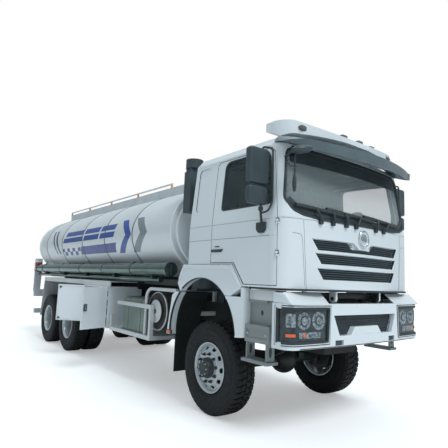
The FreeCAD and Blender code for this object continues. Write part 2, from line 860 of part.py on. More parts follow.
def build_walkway():
    """The upright boards round the tank's top, its grating floors and the hand rail."""
    side = float(d.coaming_side)
    wall = float(d.coaming_wall)
    front = -float(d.coaming_front)
    rear = -float(d.coaming_rear)
    top = float(d.coaming_top)
    low = tank_top_at(side) - 40
    outer = Part.makeBox(front - rear, 2 * side, top - low, Vector(rear, -side, low))
    inner = Part.makeBox(front - rear - 2 * wall, 2 * (side - wall), top - low,
                         Vector(rear + wall, -side + wall, low))
    boards = outer.cut(inner)
    floors = []
    clear = float(d.manhole_radius) + 110
    stops = [front - wall, -float(d.manhole_front) + clear, -float(d.manhole_front) - clear,
             -float(d.manhole_rear) + clear, -float(d.manhole_rear) - clear, rear + wall]
    level = float(d.tank_height) + float(d.tank_half_height) + 6
    for ahead, behind in zip(stops[0::2], stops[1::2]):
        floors.append(Part.makeBox(ahead - behind, 2 * side, 24, Vector(behind, -side, level)))
    barrel = oval_bar(rear - 10, front + 10, float(d.fit_gap))
    frame = boards.multiFuse(floors).cut(barrel)
    rail = float(d.rail_tube_radius)
    rails = []
    for sign in (1, -1):
        run = side - wall / 2
        height = top + 70
        rails.append(Part.makeCylinder(rail, front - rear - 900, Vector(rear, sign * run, height),
                                       Vector(1, 0, 0)))
        for step in range(5):
            place = rear + 20 + step * (front - rear - 940) / 4
            rails.append(Part.makeCylinder(rail * 0.9, height - top + 20,
                                           Vector(place, sign * run, top - 20)))
    whole = frame.multiFuse(rails).removeSplitter()
    subpart("walkway", [shaped("Walkway", whole)])


def build_subframe():
    """Long beams on the rails, saddles under the tank and arms that carry the hose tubes."""
    inner = d.rail_side - d.rail_width / 2
    outer = d.rail_side + d.rail_width / 2
    beam_top = d.rail_top + d.subframe_height
    beam = box("SubframeBeam", (-d.frame_rear + 60, -d.tank_front - 90), (inner, outer),
               (d.rail_top, beam_top))
    pieces = both_sides("SubframeBeamRight", beam)
    belly = d.tank_height - d.tank_half_height
    arm_top = d.hose_tube_height - d.hose_tube_radius - d.fit_gap
    tools = [shaped("TankBelly", oval_bar(-float(d.frame_rear), -float(d.tank_front), 0.3))]
    for number, back in enumerate((1500, 2900, 4300, 5700, 7100), start=1):
        near = (-length(back) - d.saddle_thickness / 2, -length(back) + d.saddle_thickness / 2)
        pieces.append(box("Saddle%d" % number, near,
                          (-d.saddle_half_width, d.saddle_half_width), (beam_top, belly + 260)))
        pieces.append(box("HoseArm%d" % number, near, (-d.hose_tube_side - 60,
                          d.hose_tube_side + 60), (arm_top - 46, arm_top)))
    whole = cut("Subframe", fused("SubframeWhole", pieces), tools)
    subpart("tank_subframe", [whole])


def build_hose_tubes():
    """Round lockers for the hoses along both sides, with clamp rings and end caps."""
    centre = (-d.hose_tube_side, d.hose_tube_height)
    tube = cylinder("HoseTube", "X", d.hose_tube_radius, centre, -d.hose_tube_rear,
                    -d.hose_tube_front)
    rings = []
    for number, place in enumerate((1040, 2235, 7300, 7880), start=1):
        low = -length(place) - 35
        if number == 1:
            low = -d.hose_tube_front - 60
        if number == 4:
            low = -d.hose_tube_rear - 10
        rings.append(cylinder("HoseRing%d" % number, "X", d.hose_tube_radius + 9, centre,
                              low, low + 70))
    right = fused("HoseTubeRight", [tube] + rings)
    subpart("hose_tubes", both_sides("HoseTubeLeft", right))


build_frame()
build_engine()
build_shafts()
build_tank()
build_bands()
build_walkway()
build_subframe()
build_hose_tubes()


# Equipment along the sides
def build_side_guards():
    """Square-tube guards on both sides, with the bent white pipe on the right."""
    tube = d.guard_tube
    face = (-d.skirt_side, -d.skirt_side + tube)
    post_x = (-length(1440), -length(1440) + tube)
    top_run = (-d.fuel_tank_rear - 110, -length(1440))
    inner = d.rail_side - d.rail_width / 2
    outer = d.rail_side + d.rail_width / 2
    pieces = [
        box("GuardPost", post_x, face, (700, 1215)),
        box("GuardTop", top_run, face, (1215 - tube, 1215)),
        box("GuardBottom", (-2820, -length(1440)), face, (700, 700 + tube)),
        box("GuardEnd", (-2820, -2820 + tube), face, (700, 960)),
        box("GuardArmLow", post_x, (-d.skirt_side + tube, -inner), (700, 700 + tube)),
        box("GuardDrop", post_x, (-outer, -inner), (700, d.rail_bottom)),
        box("GuardArmTop", (-d.fuel_tank_rear - 110, -d.fuel_tank_rear - 110 + tube),
            (-d.skirt_side + tube, -outer), (1215 - tube, 1215)),
    ]
    right = fused("GuardRight", pieces)
    pipe = 26.0
    side = -float(d.skirt_side) + 60
    route = [Vector(-1640, side, 745), Vector(-1640, side, 1456), Vector(-760, side, 1456)]
    bend = 150.0
    corner = route[1]
    start = corner - Vector(0, 0, bend)
    end = corner + Vector(bend, 0, 0)
    middle = corner + Vector(bend, 0, -bend) + Vector(-1, 0, 1) * (bend / math.sqrt(2))
    path = Part.Wire([
        Part.LineSegment(route[0], start).toShape(),
        Part.Arc(start, middle, end).toShape(),
        Part.LineSegment(end, route[2]).toShape(),
    ])
    ring = Part.Wire([Part.Circle(route[0], Vector(0, 0, 1), pipe).toShape()])
    bent = path.makePipeShell([ring], True, False)
    stay = Part.makeBox(50, -side - float(outer), 24, Vector(-900, side, 1456 - 12))
    drop = Part.makeBox(50, 50, 1456 - float(d.rail_top), Vector(-900, -float(outer),
                                                                 float(d.rail_top)))
    pipe_whole = shaped("BentPipe", bent.fuse(stay).fuse(drop).removeSplitter())
    subpart("side_guards", [right, mirrored("GuardLeft", right), pipe_whole])


def build_silencer():
    """The round box beside the frame with its end disc, and its bracket."""
    centre = (-d.silencer_centre, d.silencer_height)
    outer = d.rail_side + d.rail_width / 2
    drum = cylinder("SilencerDrum", "Y", d.silencer_radius, centre, -1120, -620)
    lip = cylinder("SilencerLip", "Y", d.silencer_radius - 20, centre, -1135, -1100)
    disc = cylinder("SilencerDisc", "Y", 170, centre, -1165, -1100)
    bracket = box("SilencerBracket", (-d.silencer_centre - 90, -d.silencer_centre + 90),
                  (-640, -outer), (1060, 1240))
    subpart("silencer", [fused("Silencer", [drum, lip, disc, bracket])])


def build_fuel_tank():
    """A round-shouldered fuel tank with two straps, on brackets from the rail."""
    outer = float(d.rail_side + d.rail_width / 2)
    low, high = float(d.fuel_tank_bottom), float(d.fuel_tank_top)
    rear, front = -float(d.fuel_tank_rear), -float(d.fuel_tank_front)
    near, far = -1175.0, -580.0
    body = Part.makeBox(front - rear, far - near, high - low, Vector(rear, near, low))
    long_edges = [edge for edge in body.Edges
                  if abs(edge.Vertexes[0].X - edge.Vertexes[-1].X) > 1]
    body = body.makeFillet(95, long_edges)
    parts = [body]
    for place in (0.22, 0.78):
        x = rear + place * (front - rear) - 30
        strap = Part.makeBox(60, far - near + 12, high - low + 12, Vector(x, near - 6, low - 6))
        strap_edges = [edge for edge in strap.Edges
                       if abs(edge.Vertexes[0].X - edge.Vertexes[-1].X) > 1]
        parts.append(strap.makeFillet(100, strap_edges))
        bracket = Part.makeBox(60, -far - outer + 6, 180, Vector(x, far - 6, 1050))
        parts.append(bracket)
    cap = Part.makeCylinder(48, 40, Vector(front - 190, near + 150, high - 10))
    whole = parts[0].multiFuse(parts[1:] + [cap]).removeSplitter()
    subpart("fuel_tank", [shaped("FuelTank", whole)])


def build_air_tanks():
    """Left side: the battery box and the brake air vessels on their brackets."""
    outer = d.rail_side + d.rail_width / 2
    battery = box("BatteryBox", (-1780, -1120), (620, 1170), (760, 1240))
    lid = box("BatteryLid", (-1795, -1105), (605, 1185), (1240, 1262))
    arms = [box("BatteryArm%d" % step, (place, place + 60), (outer, 640), (1060, 1200))
            for step, place in enumerate((-1720, -1240))]
    pieces = [fused("Battery", [battery, lid] + arms)]
    for number, height in enumerate((870, 1150)):
        vessel = cylinder("AirVessel%d" % number, "X", 125, (900, height), -2490, -1850)
        bands = []
        for step, place in enumerate((-2440, -1960)):
            bands.append(box("AirArm%d_%d" % (number, step), (place, place + 50),
                             (outer, 800), (1060, 1200)))
            bands.append(box("AirStrap%d_%d" % (number, step), (place, place + 50),
                             (760, 800), (740, 1280)))
        pieces.append(fused("AirVesselWhole%d" % number, [vessel] + bands))
    subpart("air_tanks", [pieces[0], fused("AirVessels", pieces[1:])])


def leaf_frame(opened, sign):
    """How far an open cabinet leaf stands turned about its hinge from its closed place."""
    return Rotation(Vector(0, 0, 1), float(opened) * sign)


def build_cabinet():
    """The pump cabinet: a box open to the right, its pipes and its two open leaves."""
    wall = d.cabinet_wall
    front, rear = -d.cabinet_front, -d.cabinet_rear
    low, high = d.cabinet_bottom, d.cabinet_top
    mouth = -d.skirt_side
    back = -d.cabinet_back
    outer = d.rail_side + d.rail_width / 2
    shell = box("CabinetOuter", (rear, front), (mouth, back), (low, high))
    hollow = box("CabinetHollow", (rear + wall, front - wall), (mouth - 9, back - wall),
                 (low + wall, high - wall))
    body = cut("CabinetShell", shell, [hollow])
    pieces = [body]
    for number, place in enumerate((-3200, -3900)):
        pieces.append(box("CabinetArm%d" % number, (place, place + 80), (back, -outer),
                          (1060, 1220)))
    pin_side = mouth - d.leaf_thickness / 2 - d.pivot_clearance
    lug = d.leaf_pin_radius + 8
    for word, corner in (("Front", front - 45), ("Rear", rear + 45)):
        pieces.append(cylinder("Leaf%sPin" % word, "Z", d.leaf_pin_radius, (corner, pin_side),
                               low, high))
        for end, bottom, top in (("Low", low, low + 10), ("High", high - 10, high)):
            pieces.append(box("Leaf%sLug%s" % (word, end), (corner - lug, corner + lug),
                              (pin_side - lug, mouth), (bottom, top)))
    subpart("pump_cabinet", [fused("CabinetWhole", pieces)])

    leaf_low, leaf_high = low + 14, high - 14
    bore = d.leaf_pin_radius + d.running_fit
    for word, corner, sign, opened in (("front", front - 45, -1, d.front_leaf_open),
                                       ("rear", rear + 45, 1, d.rear_leaf_open)):
        name = "Leaf" + word.title()
        start, end = (lug, d.leaf_width) if sign > 0 else (-d.leaf_width, -lug)
        half = d.leaf_thickness / 2
        plate = box(name + "Plate", (start, end), (-half, half), (leaf_low, leaf_high))
        barrel = cylinder(name + "Barrel", "Z", d.leaf_pin_radius + 5, (0, 0),
                          leaf_low, leaf_high)
        ear = (0, lug) if sign > 0 else (-lug, 0)
        strap = box(name + "Strap", ear, (-5, 5), (leaf_low, leaf_high))
        hole = cylinder(name + "Bore", "Z", bore, (0, 0), low - 5, high + 5)
        grip_x = (d.leaf_width - 75, d.leaf_width - 35) if sign > 0 else (
            -d.leaf_width + 35, -d.leaf_width + 75)
        grip = box(name + "Grip", grip_x, (-half - 16, -half), (1020, 1140))
        leaf = cut(name, fused(name + "Solid", [plate, barrel, strap, grip]), [hole])
        leaf.Placement = Placement(Vector(), Rotation(Vector(0, 0, 1), float(opened) * -sign))
        bind(leaf, "Placement.Base.x", corner)
        bind(leaf, "Placement.Base.y", pin_side)
        subpart("cabinet_door_" + word, [leaf])

    pump = cylinder("Pump", "Y", 120, (-3780, 1010), -820, back - wall)
    outlet = cylinder("Outlet", "Y", 42, (-3780, 1010), -960, -820)
    collar = cylinder("OutletCollar", "Y", 60, (-3780, 1010), -900, -880)
    meter = box("Meter", (-3500, -3260), (-860, back - wall), (960, 1240))
    pipe = cylinder("MeterPipe", "X", 38, (-760, 1010), -3700, -3480)
    reel = cylinder("Reel", "Y", 100, (-3180, 880), -860, back - wall)
    subpart("discharge_pipes", [fused("Pipes", [pump, outlet, collar, pipe, meter]), reel])


def build_mudguards():
    """Flat guards over the rear wheels with a turned-down edge and a rear drop."""
    inner = d.saddle_half_width + d.fit_gap
    outer = d.skirt_side
    top = d.mudguard_top
    front, rear = -d.mudguard_front, -d.mudguard_rear
    plate = box("GuardPlate", (rear, front), (inner, outer), (top - 20, top))
    edge = box("GuardEdge", (rear, front), (outer - 20, outer), (top - d.mudguard_edge, top))
    arm_low = d.hose_tube_height - d.hose_tube_radius - 46
    pieces = [plate, edge]
    for number, back in enumerate((4300, 5700)):
        pieces.append(box("GuardStay%d" % number, (-length(back) - 25, -length(back) + 25),
                          (inner + 60, inner + 120), (top, arm_low - d.fit_gap * 2)))
    drop_outline = [
        (rear, top),
        (rear - 165, 575),
        (rear - 147, 575),
        (rear + 18, top),
    ]
    pieces.append(prism("GuardDropPlate", "side", drop_outline, inner, outer))
    left = fused("MudguardLeft", pieces)
    subpart("rear_mudguards", both_sides("MudguardRight", left))


def build_rear():
    """Rear board with the underrun bar, and the ladder up to the walkway."""
    inner = d.rail_side - d.rail_width / 2
    outer = d.rail_side + d.rail_width / 2
    rear = -d.frame_rear
    bar = box("UnderrunBar", (rear - 140, rear - 40), (-1180, 1180), (560, 680))
    strut = box("UnderrunStrut", (rear - 90, rear), (inner, outer), (600, d.rail_bottom + 250))
    board = box("RearBoard", (rear - 90, rear - 60), (-1230, 1230), (d.rail_bottom, 1190))
    upright = box("LampUpright", (rear - 140, rear - 110), (1060, 1240), (1120, 2010))
    foot = box("LampFoot", (rear - 112, rear - 60), (1060, 1220), (1120, 1180))
    pieces = [bar, board] + both_sides("UnderrunStrutRight", strut)
    pieces += both_sides("LampUprightRight", upright) + both_sides("LampFootRight", foot)
    whole = fused("RearWhole", pieces)
    tow = cylinder("RearTowWay", "X", 60, (0, d.rail_bottom + 150), rear - 99, rear - 50)
    subpart("rear_board", [cut("RearBored", whole, [tow])])
    foot_z = 700
    top = d.coaming_top - 40
    ladder = []
    for word, side in (("Inner", 180), ("Outer", 540)):
        ladder.append(cylinder("LadderRail" + word, "Z", 18, (rear - 170, side), foot_z, top))
        ladder.append(cylinder("LadderHook" + word, "X", 18, (side, top), rear - 170,
                               -d.coaming_rear - d.fit_gap))
        ladder.append(box("LadderStay" + word, (rear - 170, rear - 90 - d.fit_gap),
                          (side - 12, side + 12), (1040, 1080)))
    for step in range(8):
        height = foot_z + 60 + step * 300
        ladder.append(cylinder("Rung%d" % step, "Y", 14, (rear - 170, height), 180, 540))
    subpart("rear_ladder", [fused("Ladder", ladder)])


def build_intake():
    """The raised air intake behind the cab and its filter housing."""
    outer = d.rail_side + d.rail_width / 2
    duct = box("IntakeDuct", (-770, -600), (-1160, -1000), (2560, 3150))
    elbow = box("IntakeElbow", (-765, -605), (-1100, -690), (2570, 2700))
    fall = box("IntakeFall", (-765, -605), (-850, -690), (2100, 2600))
    neck = box("IntakeNeck", (-755, -615), (-1145, -1015), (3150, 3200))
    head = cylinder("IntakeHead", "Z", 125, (-685, -1050), 3200, 3330)
    filter_box = cylinder("FilterBox", "Z", 190, (-690, -760), 1500, 2150)
    shelf = box("IntakeShelf", (-760, -620), (-960, -outer + 80), (1460, 1500))
    leg = box("IntakeLeg", (-760, -620), (-outer, -outer + 80), (d.rail_top, 1500))
    whole = fused("Intake", [duct, elbow, fall, neck, head, filter_box, shelf, leg])
    subpart("air_intake", [whole])


build_side_guards()
build_silencer()
build_fuel_tank()
build_air_tanks()
build_cabinet()
build_mudguards()
build_rear()
build_intake()


# Front end
def plan_wire(front, half_width, rear, height, corner, bow=45.0):
    """The cab's outline seen from above: a bowed front, round corners and a straight back."""
    side_end = front - corner
    shoulder = half_width - corner * 0.82
    edge = front - bow
    knee_x = front - bow - corner * 0.2
    knee_y = half_width - corner * 0.19
    points = {
        "rear_right": Vector(rear, -half_width, height),
        "side_right": Vector(side_end - bow, -half_width, height),
        "knee_right": Vector(knee_x - corner * 0.1, -knee_y, height),
        "face_right": Vector(edge, -shoulder, height),
        "nose": Vector(front, 0, height),
        "face_left": Vector(edge, shoulder, height),
        "knee_left": Vector(knee_x - corner * 0.1, knee_y, height),
        "side_left": Vector(side_end - bow, half_width, height),
        "rear_left": Vector(rear, half_width, height),
    }
    p = points
    return Part.Wire([
        Part.LineSegment(p["rear_right"], p["side_right"]).toShape(),
        Part.Arc(p["side_right"], p["knee_right"], p["face_right"]).toShape(),
        Part.Arc(p["face_right"], p["nose"], p["face_left"]).toShape(),
        Part.Arc(p["face_left"], p["knee_left"], p["side_left"]).toShape(),
        Part.LineSegment(p["side_left"], p["rear_left"]).toShape(),
        Part.LineSegment(p["rear_left"], p["rear_right"]).toShape(),
    ])


def side_cut(outline, low, high):
    """A tool with an outline in X and Z that reaches across the truck from low to high."""
    corners = [Vector(x, low, z) for x, z in outline]
    face = Part.Face(Part.makePolygon(corners + corners[:1]))
    return face.extrude(Vector(0, high - low, 0))


def front_cut(outline, rear, front):
    """A tool with an outline in Y and Z that reaches from rear to front."""
    corners = [Vector(rear, y, z) for y, z in outline]
    face = Part.Face(Part.makePolygon(corners + corners[:1]))
    return face.extrude(Vector(front - rear, 0, 0))


def bumper_form(inset):
    """The bumper's bowed block, drawn in by a margin on every upright face."""
    front = float(d.bumper_front) - inset
    half = float(d.half_width) - 3 - inset
    low = float(d.bumper_bottom)
    wire = plan_wire(front, half, float(d.bumper_return) - inset, low, 150 - inset * 0.5)
    return Part.Face(wire).extrude(Vector(0, 0, float(d.bumper_top) - low))


def build_bumper():
    """A bowed steel bumper with lamp openings, a sunk centre grille and its brackets."""
    wall = float(d.bumper_wall)
    low, high = float(d.bumper_bottom), float(d.bumper_top)
    front = float(d.bumper_front)
    shell = bumper_form(0).cut(bumper_form(wall))
    behind = Part.makeBox(wall * 3, 4000, 999, Vector(float(d.bumper_return) - wall * 3 + 1,
                                                      -2000, low - 99))
    shell = shell.cut(behind)
    lamp_in, lamp_out = float(d.lamp_inner), float(d.lamp_outer)
    lamp_low, lamp_high = float(d.lamp_bottom), float(d.lamp_top)
    for sign in (1, -1):
        opening = front_cut([(sign * lamp_in, lamp_low), (sign * lamp_out, lamp_low),
                             (sign * lamp_out, lamp_high), (sign * (lamp_in - 20), lamp_high)],
                            float(d.lamp_rear), front + 50)
        tow = front_cut([(sign * 440, 985), (sign * 575, 985), (sign * 575, 1040),
                         (sign * 440, 1040)], 1300, front + 50)
        shell = shell.cut(opening).cut(tow)
    half = float(d.insert_half_width)
    bottom, top = float(d.insert_bottom), float(d.insert_top)
    opening = front_cut([(-half + 70, bottom), (half - 70, bottom), (half + 25, top),
                         (-half - 25, top)], 1300, front + 50)
    shell = shell.cut(opening)
    plate = Part.makeBox(12, 2 * half + 90, top - bottom + 30,
                         Vector(front - wall - 45, -half - 45, bottom - 15))
    badge = front_cut([(-300, bottom - 4), (300, bottom - 4), (225, bottom + 86),
                       (-225, bottom + 86)], front - wall - 40, front - 16)
    frame_front = float(d.frame_front)
    inner = float(d.rail_side - d.rail_width / 2)
    outer = float(d.rail_side + d.rail_width / 2)
    pieces = [plate, badge]
    for sign in (1, -1):
        side = inner if sign > 0 else -outer
        pieces.append(Part.makeBox(front - wall - frame_front - 33, outer - inner, 155,
                                   Vector(frame_front, side, float(d.rail_bottom) + 20)))
        near, far = sorted((sign * 640, sign * 1225))
        slope = side_cut([(1405, high - 12), (1418, high - 8), (1292, 1532), (1279, 1526)],
                         near, far)
        pieces.append(slope)
        cheek = Part.makeBox(60, 30, 200, Vector(front - wall - 45, sign * (half + 30) - 15,
                                                 bottom))
        pieces.append(cheek.common(bumper_form(wall - 1)))
    top_plate = Part.makeBox(90, 2 * float(d.half_width) - 120, 12,
                             Vector(front - wall - 80, -float(d.half_width) + 60, high - 12))
    pieces.append(top_plate.common(bumper_form(wall - 1)))
    whole = shell.multiFuse(pieces).removeSplitter()
    subpart("bumper", [shaped("Bumper", whole)])


def build_lamps():
    """Headlamps that fill the bumper's openings, and the upright tail lamps."""
    gap = float(d.fit_gap)
    lamp_in, lamp_out = float(d.lamp_inner) + gap, float(d.lamp_outer) - gap
    low, high = float(d.lamp_bottom) + gap, float(d.lamp_top) - gap
    face = bumper_form(14)
    lamps = []
    for sign in (1, -1):
        block = front_cut([(sign * lamp_in, low), (sign * lamp_out, low),
                           (sign * lamp_out, high), (sign * (lamp_in - 20), high)],
                          float(d.lamp_rear) + 4, 1600)
        lamps.append(block.common(face))
        rear = -float(d.frame_rear) - 140
        side = sign * 1150
        lamps.append(Part.makeBox(70, 150, 330, Vector(rear - 70, side - 75, 1660)))
    subpart("lamps", [shaped("Lamps", Part.makeCompound(lamps))])


def build_steps():
    """Cab steps: a hung lower step, a mid step with its riser and the upper tread."""
    near, far = 1010, 1238
    hangers = [
        box("StepHangerFront", (1050, 1066), (1100, far - 20), (800, 990)),
        box("StepHangerRear", (745, 761), (1100, far - 20), (800, 990)),
    ]
    low = box("StepLow", (690, 1090), (near + 60, far), (770, 800))
    middle = box("StepMiddle", (742, 1118), (near, far), (985, 1165))
    hollow = box("StepHollow", (770, 1090), (far - 10, far + 9), (1030, 1120))
    riser = box("StepRiser", (742, 1118), (1130, 1160), (1165, 1425))
    tread = box("StepTread", (745, 1030), (near, 1190), (1405, 1430))
    mount = box("StepMount", (760, 1060), (d.rail_side + d.rail_width / 2, near), (1030, 1110))
    body = cut("StepBody", middle, [hollow])
    whole = fused("StepsLeft", hangers + [low, body, riser, tread, mount])
    subpart("cab_steps", both_sides("StepsRight", whole))


def arch_bar(radius, low, high):
    """A round bar across the truck on the wheel arch's centre."""
    centre = Vector(-float(d.arch_back), low, float(d.arch_height))
    return Part.makeCylinder(radius, high - low, centre, Vector(0, 1, 0))


def build_fenders():
    """Upper fenders that tilt with the cab, lower fenders and black arch liners."""
    side = float(d.fender_side)
    depth = float(d.fender_depth)
    arch = float(d.arch_radius)
    top = float(d.fender_top)
    split = float(d.fender_split)
    heel, toe = float(d.door_heel) - 16, float(d.door_toe) - 18
    upper = side_cut([(-643, 1590), (-640, 1562), (-560, split + 4), (500, split + 4),
                      (toe - 12, 1540), (toe, 1569), (heel, top), (-536, top)],
                     side - depth, side)
    upper = upper.cut(arch_bar(arch, side - depth - 5, side + 5))
    above = [edge for edge in upper.Edges
             if edge.BoundBox.ZMin > 1500 and edge.BoundBox.YMin > side - 1
             and edge.BoundBox.ZMax > 1620 and edge.BoundBox.ZLength + edge.BoundBox.XLength > 90
             and edge.Curve.TypeId == "Part::GeomLine"]
    upper = upper.makeFillet(14, above)
    shelf = Part.makeBox(1000, 40, 20, Vector(-520, side - depth - 40, top - 20))
    lift = float(d.cab_wheelhouse) - top - float(d.fit_gap)
    pads = [Part.makeBox(90, 40, lift + 20, Vector(x, side - depth - 40, top - 20))
            for x in (-420, 300)]
    upper = upper.multiFuse([shelf] + pads).removeSplitter()
    left = shaped("UpperFender", upper)
    subpart("upper_fenders", both_sides("UpperFenderRight", left))

    front = side_cut([(380, split), (682, split), (682, 1555), (736, 1555), (738, 1014),
                      (560, 995), (560, 1200)], side - depth - 20, side)
    rear = side_cut([(-560, split), (-690, split), (-770, 1400), (-868, 872), (-740, 872)],
                    side - depth - 20, side)
    arch_tool = arch_bar(arch, side - depth - 30, side + 5)
    outer = float(d.rail_side + d.rail_width / 2)
    front = front.cut(arch_tool)
    rear = rear.cut(arch_tool)
    bar_front = Part.makeBox(40, side - depth - 20 - outer, 40, Vector(640, outer, 1230))
    bar_rear = Part.makeBox(30, side - depth - 20 - outer, 60, Vector(-840, outer, 1100))
    pieces = [shaped("LowerFenderFront", front.fuse(bar_front)),
              shaped("LowerFenderRear", rear.fuse(bar_rear))]
    rights = [mirrored(piece.Name + "Right", piece) for piece in pieces]
    subpart("lower_fenders", pieces + rights)

    thick = 8.0
    liners = []
    inner_side = 760.0
    outer_side = side - depth - 20 - float(d.fit_gap)
    ring = arch_bar(arch + thick, inner_side, outer_side).cut(
        arch_bar(arch - 0.5, inner_side - 1, outer_side + 1))
    keep_rear = side_cut([(-1200, 900), (-100, 900), (-590, 1440), (-1200, 1440)],
                         inner_side, outer_side)
    keep_front = side_cut([(1200, 1010), (300, 1010), (380, 1440), (1200, 1440)],
                          inner_side, outer_side)
    rear_liner = ring.common(keep_rear)
    flap = Part.makeBox(12, outer_side - inner_side, 560, Vector(-812, inner_side, 362))
    foot = Part.makeBox(12, outer_side - inner_side, 60, Vector(-812, inner_side, 880))
    rear_bar = Part.makeBox(30, outer_side - inner_side, 60, Vector(-840, inner_side, 1100))
    rear_liner = rear_liner.fuse(flap).fuse(foot).cut(
        Part.makeBox(30.6, 2000, 60.6, Vector(-840.3, outer - 1, 1099.7)))
    liners.append(rear_liner)
    liners.append(ring.common(keep_front))
    mud = [shaped("Liner%d" % number, liner) for number, liner in enumerate(liners)]
    mud_right = [mirrored(piece.Name + "Right", piece) for piece in mud]
    subpart("mudflaps", mud + mud_right)


# Cab
def cab_form(inset, floor=0.0):
    """The cab's outer form, drawn in by a margin: lofted through its plan at five heights."""
    corner = float(d.cab_corner)
    half = float(d.half_width)
    gutter_half = float(d.gutter_half_width)
    front = float(d.cab_front)
    gutter_front = float(d.gutter_front)
    rear = -float(d.cab_rear)
    levels = [
        (float(d.cab_bottom) + floor, front - 6, half, rear, 1.0),
        (float(d.cab_belt), front, half, rear, 1.0),
        (float(d.cab_gutter) - inset * 0.4, gutter_front, gutter_half, rear + 14, 0.62),
        (float(d.cab_roof_edge) - inset * 0.8, gutter_front - 95, gutter_half - 75,
         rear + 45, 0.62),
        (float(d.cab_crown) - inset, gutter_front - 330, gutter_half - 330, rear + 220, 0.62),
    ]
    wires = []
    for height, ahead, side, behind, round_part in levels:
        wires.append(plan_wire(ahead - inset, side - inset, behind + inset, height,
                               corner * round_part, float(d.cab_bow) * round_part))
    return Part.makeLoft(wires, True, True)


def screen_outline(margin=0.0):
    """The windscreen's opening seen from the front, with its corners cut round."""
    low, high = float(d.windscreen_bottom) + margin, float(d.windscreen_top) - margin
    wide = float(d.windscreen_half_bottom) - margin
    narrow = float(d.windscreen_half_top) - margin
    right = [(wide - 470, low), (wide - 210, low + 30), (wide - 75, low + 78), (wide, low + 190),
             (narrow, high - 110), (narrow - 22, high - 34), (narrow - 90, high)]
    return right + [(-y, z) for y, z in reversed(right)]


def door_outline(margin=0.0):
    """The door's outline from the side, stepped over the fender."""
    rear, front = float(d.door_rear) + margin, float(d.door_front) - margin
    low, high = float(d.door_bottom) + margin, float(d.door_top) - margin
    heel, toe = float(d.door_heel), float(d.door_toe)
    sill = float(d.cab_wheelhouse) + 10 + margin
    belt = float(d.cab_belt)
    lean = float(d.door_top_front) - margin
    return [(rear, sill), (heel + margin, sill), (toe + margin * 1.5, low), (front, low),
            (front, belt), (lean + 12, high - 60), (lean - 50, high), (rear + 40, high),
            (rear, high - 40)]


def window_outline(margin=0.0):
    """The door window's outline from the side."""
    rear, front = float(d.door_window_rear) + margin, float(d.door_window_front) - margin
    low, high = float(d.door_window_bottom) + margin, float(d.door_window_top) - margin
    lean = float(d.door_window_top_front) - margin
    return [(rear, low), (front, low), (lean + 14, high - 70), (lean - 50, high),
            (rear + 50, high), (rear, high - 50)]


def tilt_lug(sign):
    """A cab lug that hangs on the tilt pin."""
    axis_x, axis_z = float(d.tilt_axis_forward), float(d.tilt_axis_height)
    inner = float(d.rail_side - d.rail_width / 2) + 22 + float(d.fit_gap)
    low = inner if sign > 0 else -inner - 30
    plate = Part.makeBox(90, 30, float(d.cab_bottom) + 20 - axis_z,
                         Vector(axis_x - 45, low, axis_z))
    eye = Part.makeCylinder(45, 30, Vector(axis_x, low, axis_z), Vector(0, 1, 0))
    bore = Part.makeCylinder(float(d.tilt_pin_radius + d.running_fit), 30,
                             Vector(axis_x, low, axis_z), Vector(0, 1, 0))
    return plate.fuse(eye).cut(bore)


HINGE_HEIGHTS = (1900.0, 2240.0)


def hinge_tools(sign):
    """Door hinge pieces for one side: the notch, the pillar's lug and pin, the door's lug."""
    axis_x = float(d.door_front) - float(d.seam) / 2
    side = float(d.half_width) - 4
    notches, pillar, door = [], [], []
    for height in HINGE_HEIGHTS:
        notch = Part.makeBox(44, 60, 64, Vector(axis_x - 22, side - 30, height))
        fixed = Part.makeBox(30, 22, 18, Vector(axis_x - 7, side - 22, height))
        pin = Part.makeCylinder(5, 50, Vector(axis_x, side, height))
        base = Part.makeCylinder(9, 18, Vector(axis_x, side, height))
        moving = Part.makeBox(30, 22, 24, Vector(axis_x - 23, side - 22, height + 26))
        eye = Part.makeCylinder(9, 24, Vector(axis_x, side, height + 26))
        hole = Part.makeCylinder(5 + float(d.running_fit), 24, Vector(axis_x, side, height + 26))
        notches.append(notch)
        pillar.append(fixed.fuse(base).fuse(pin))
        door.append(moving.fuse(eye).cut(hole))
    groups = []
    for group in (notches, pillar, door):
        whole = group[0].multiFuse(group[1:])
        groups.append(whole if sign > 0 else whole.mirror(Vector(), Vector(0, 1, 0)))
    return groups


def front_details():
    """The three grille slots and the panel seams that are sunk in the cab's front."""
    sunk = cab_form(float(d.grille_depth))
    slope = float(d.grille_slope)
    tools = []
    for half, low, high in ((840, 1990, 2110), (790, 1842, 1959), (760, 1673, 1797)):
        outline = [(-half, high), (-half + slope, low), (half - slope, low), (half, high)]
        if high > 2100:
            outline += [(175, high), (80, high - 70), (-80, high - 70), (-175, high)]
        tools.append(front_cut(outline, 1000, 1700).cut(sunk))
    shallow = cab_form(7)
    seam_low = float(d.panel_seam_height)
    across = front_cut([(-1300, seam_low), (1300, seam_low), (1300, seam_low + 6),
                        (-1300, seam_low + 6)], 1225, 1700)
    tools.append(across.cut(shallow))
    for sign in (1, -1):
        near, far = sign * 902, sign * 908
        upright = front_cut([(near, 1560), (far, 1560), (far + sign * 52, seam_low),
                             (near + sign * 52, seam_low)], 1225, 1700)
        tools.append(upright.cut(shallow))
    return tools


def quarter_dish(low, high):
    """The shallow rounded dish in the panel behind the door window."""
    rear, front, bottom, top = -335, -75, 2500, 3085
    outline = [(rear, bottom + 40), (rear + 40, bottom), (front - 40, bottom),
               (front, bottom + 40), (front, top - 40), (front - 40, top),
               (rear + 40, top), (rear, top - 40)]
    return side_cut(outline, low, high).cut(cab_form(9))


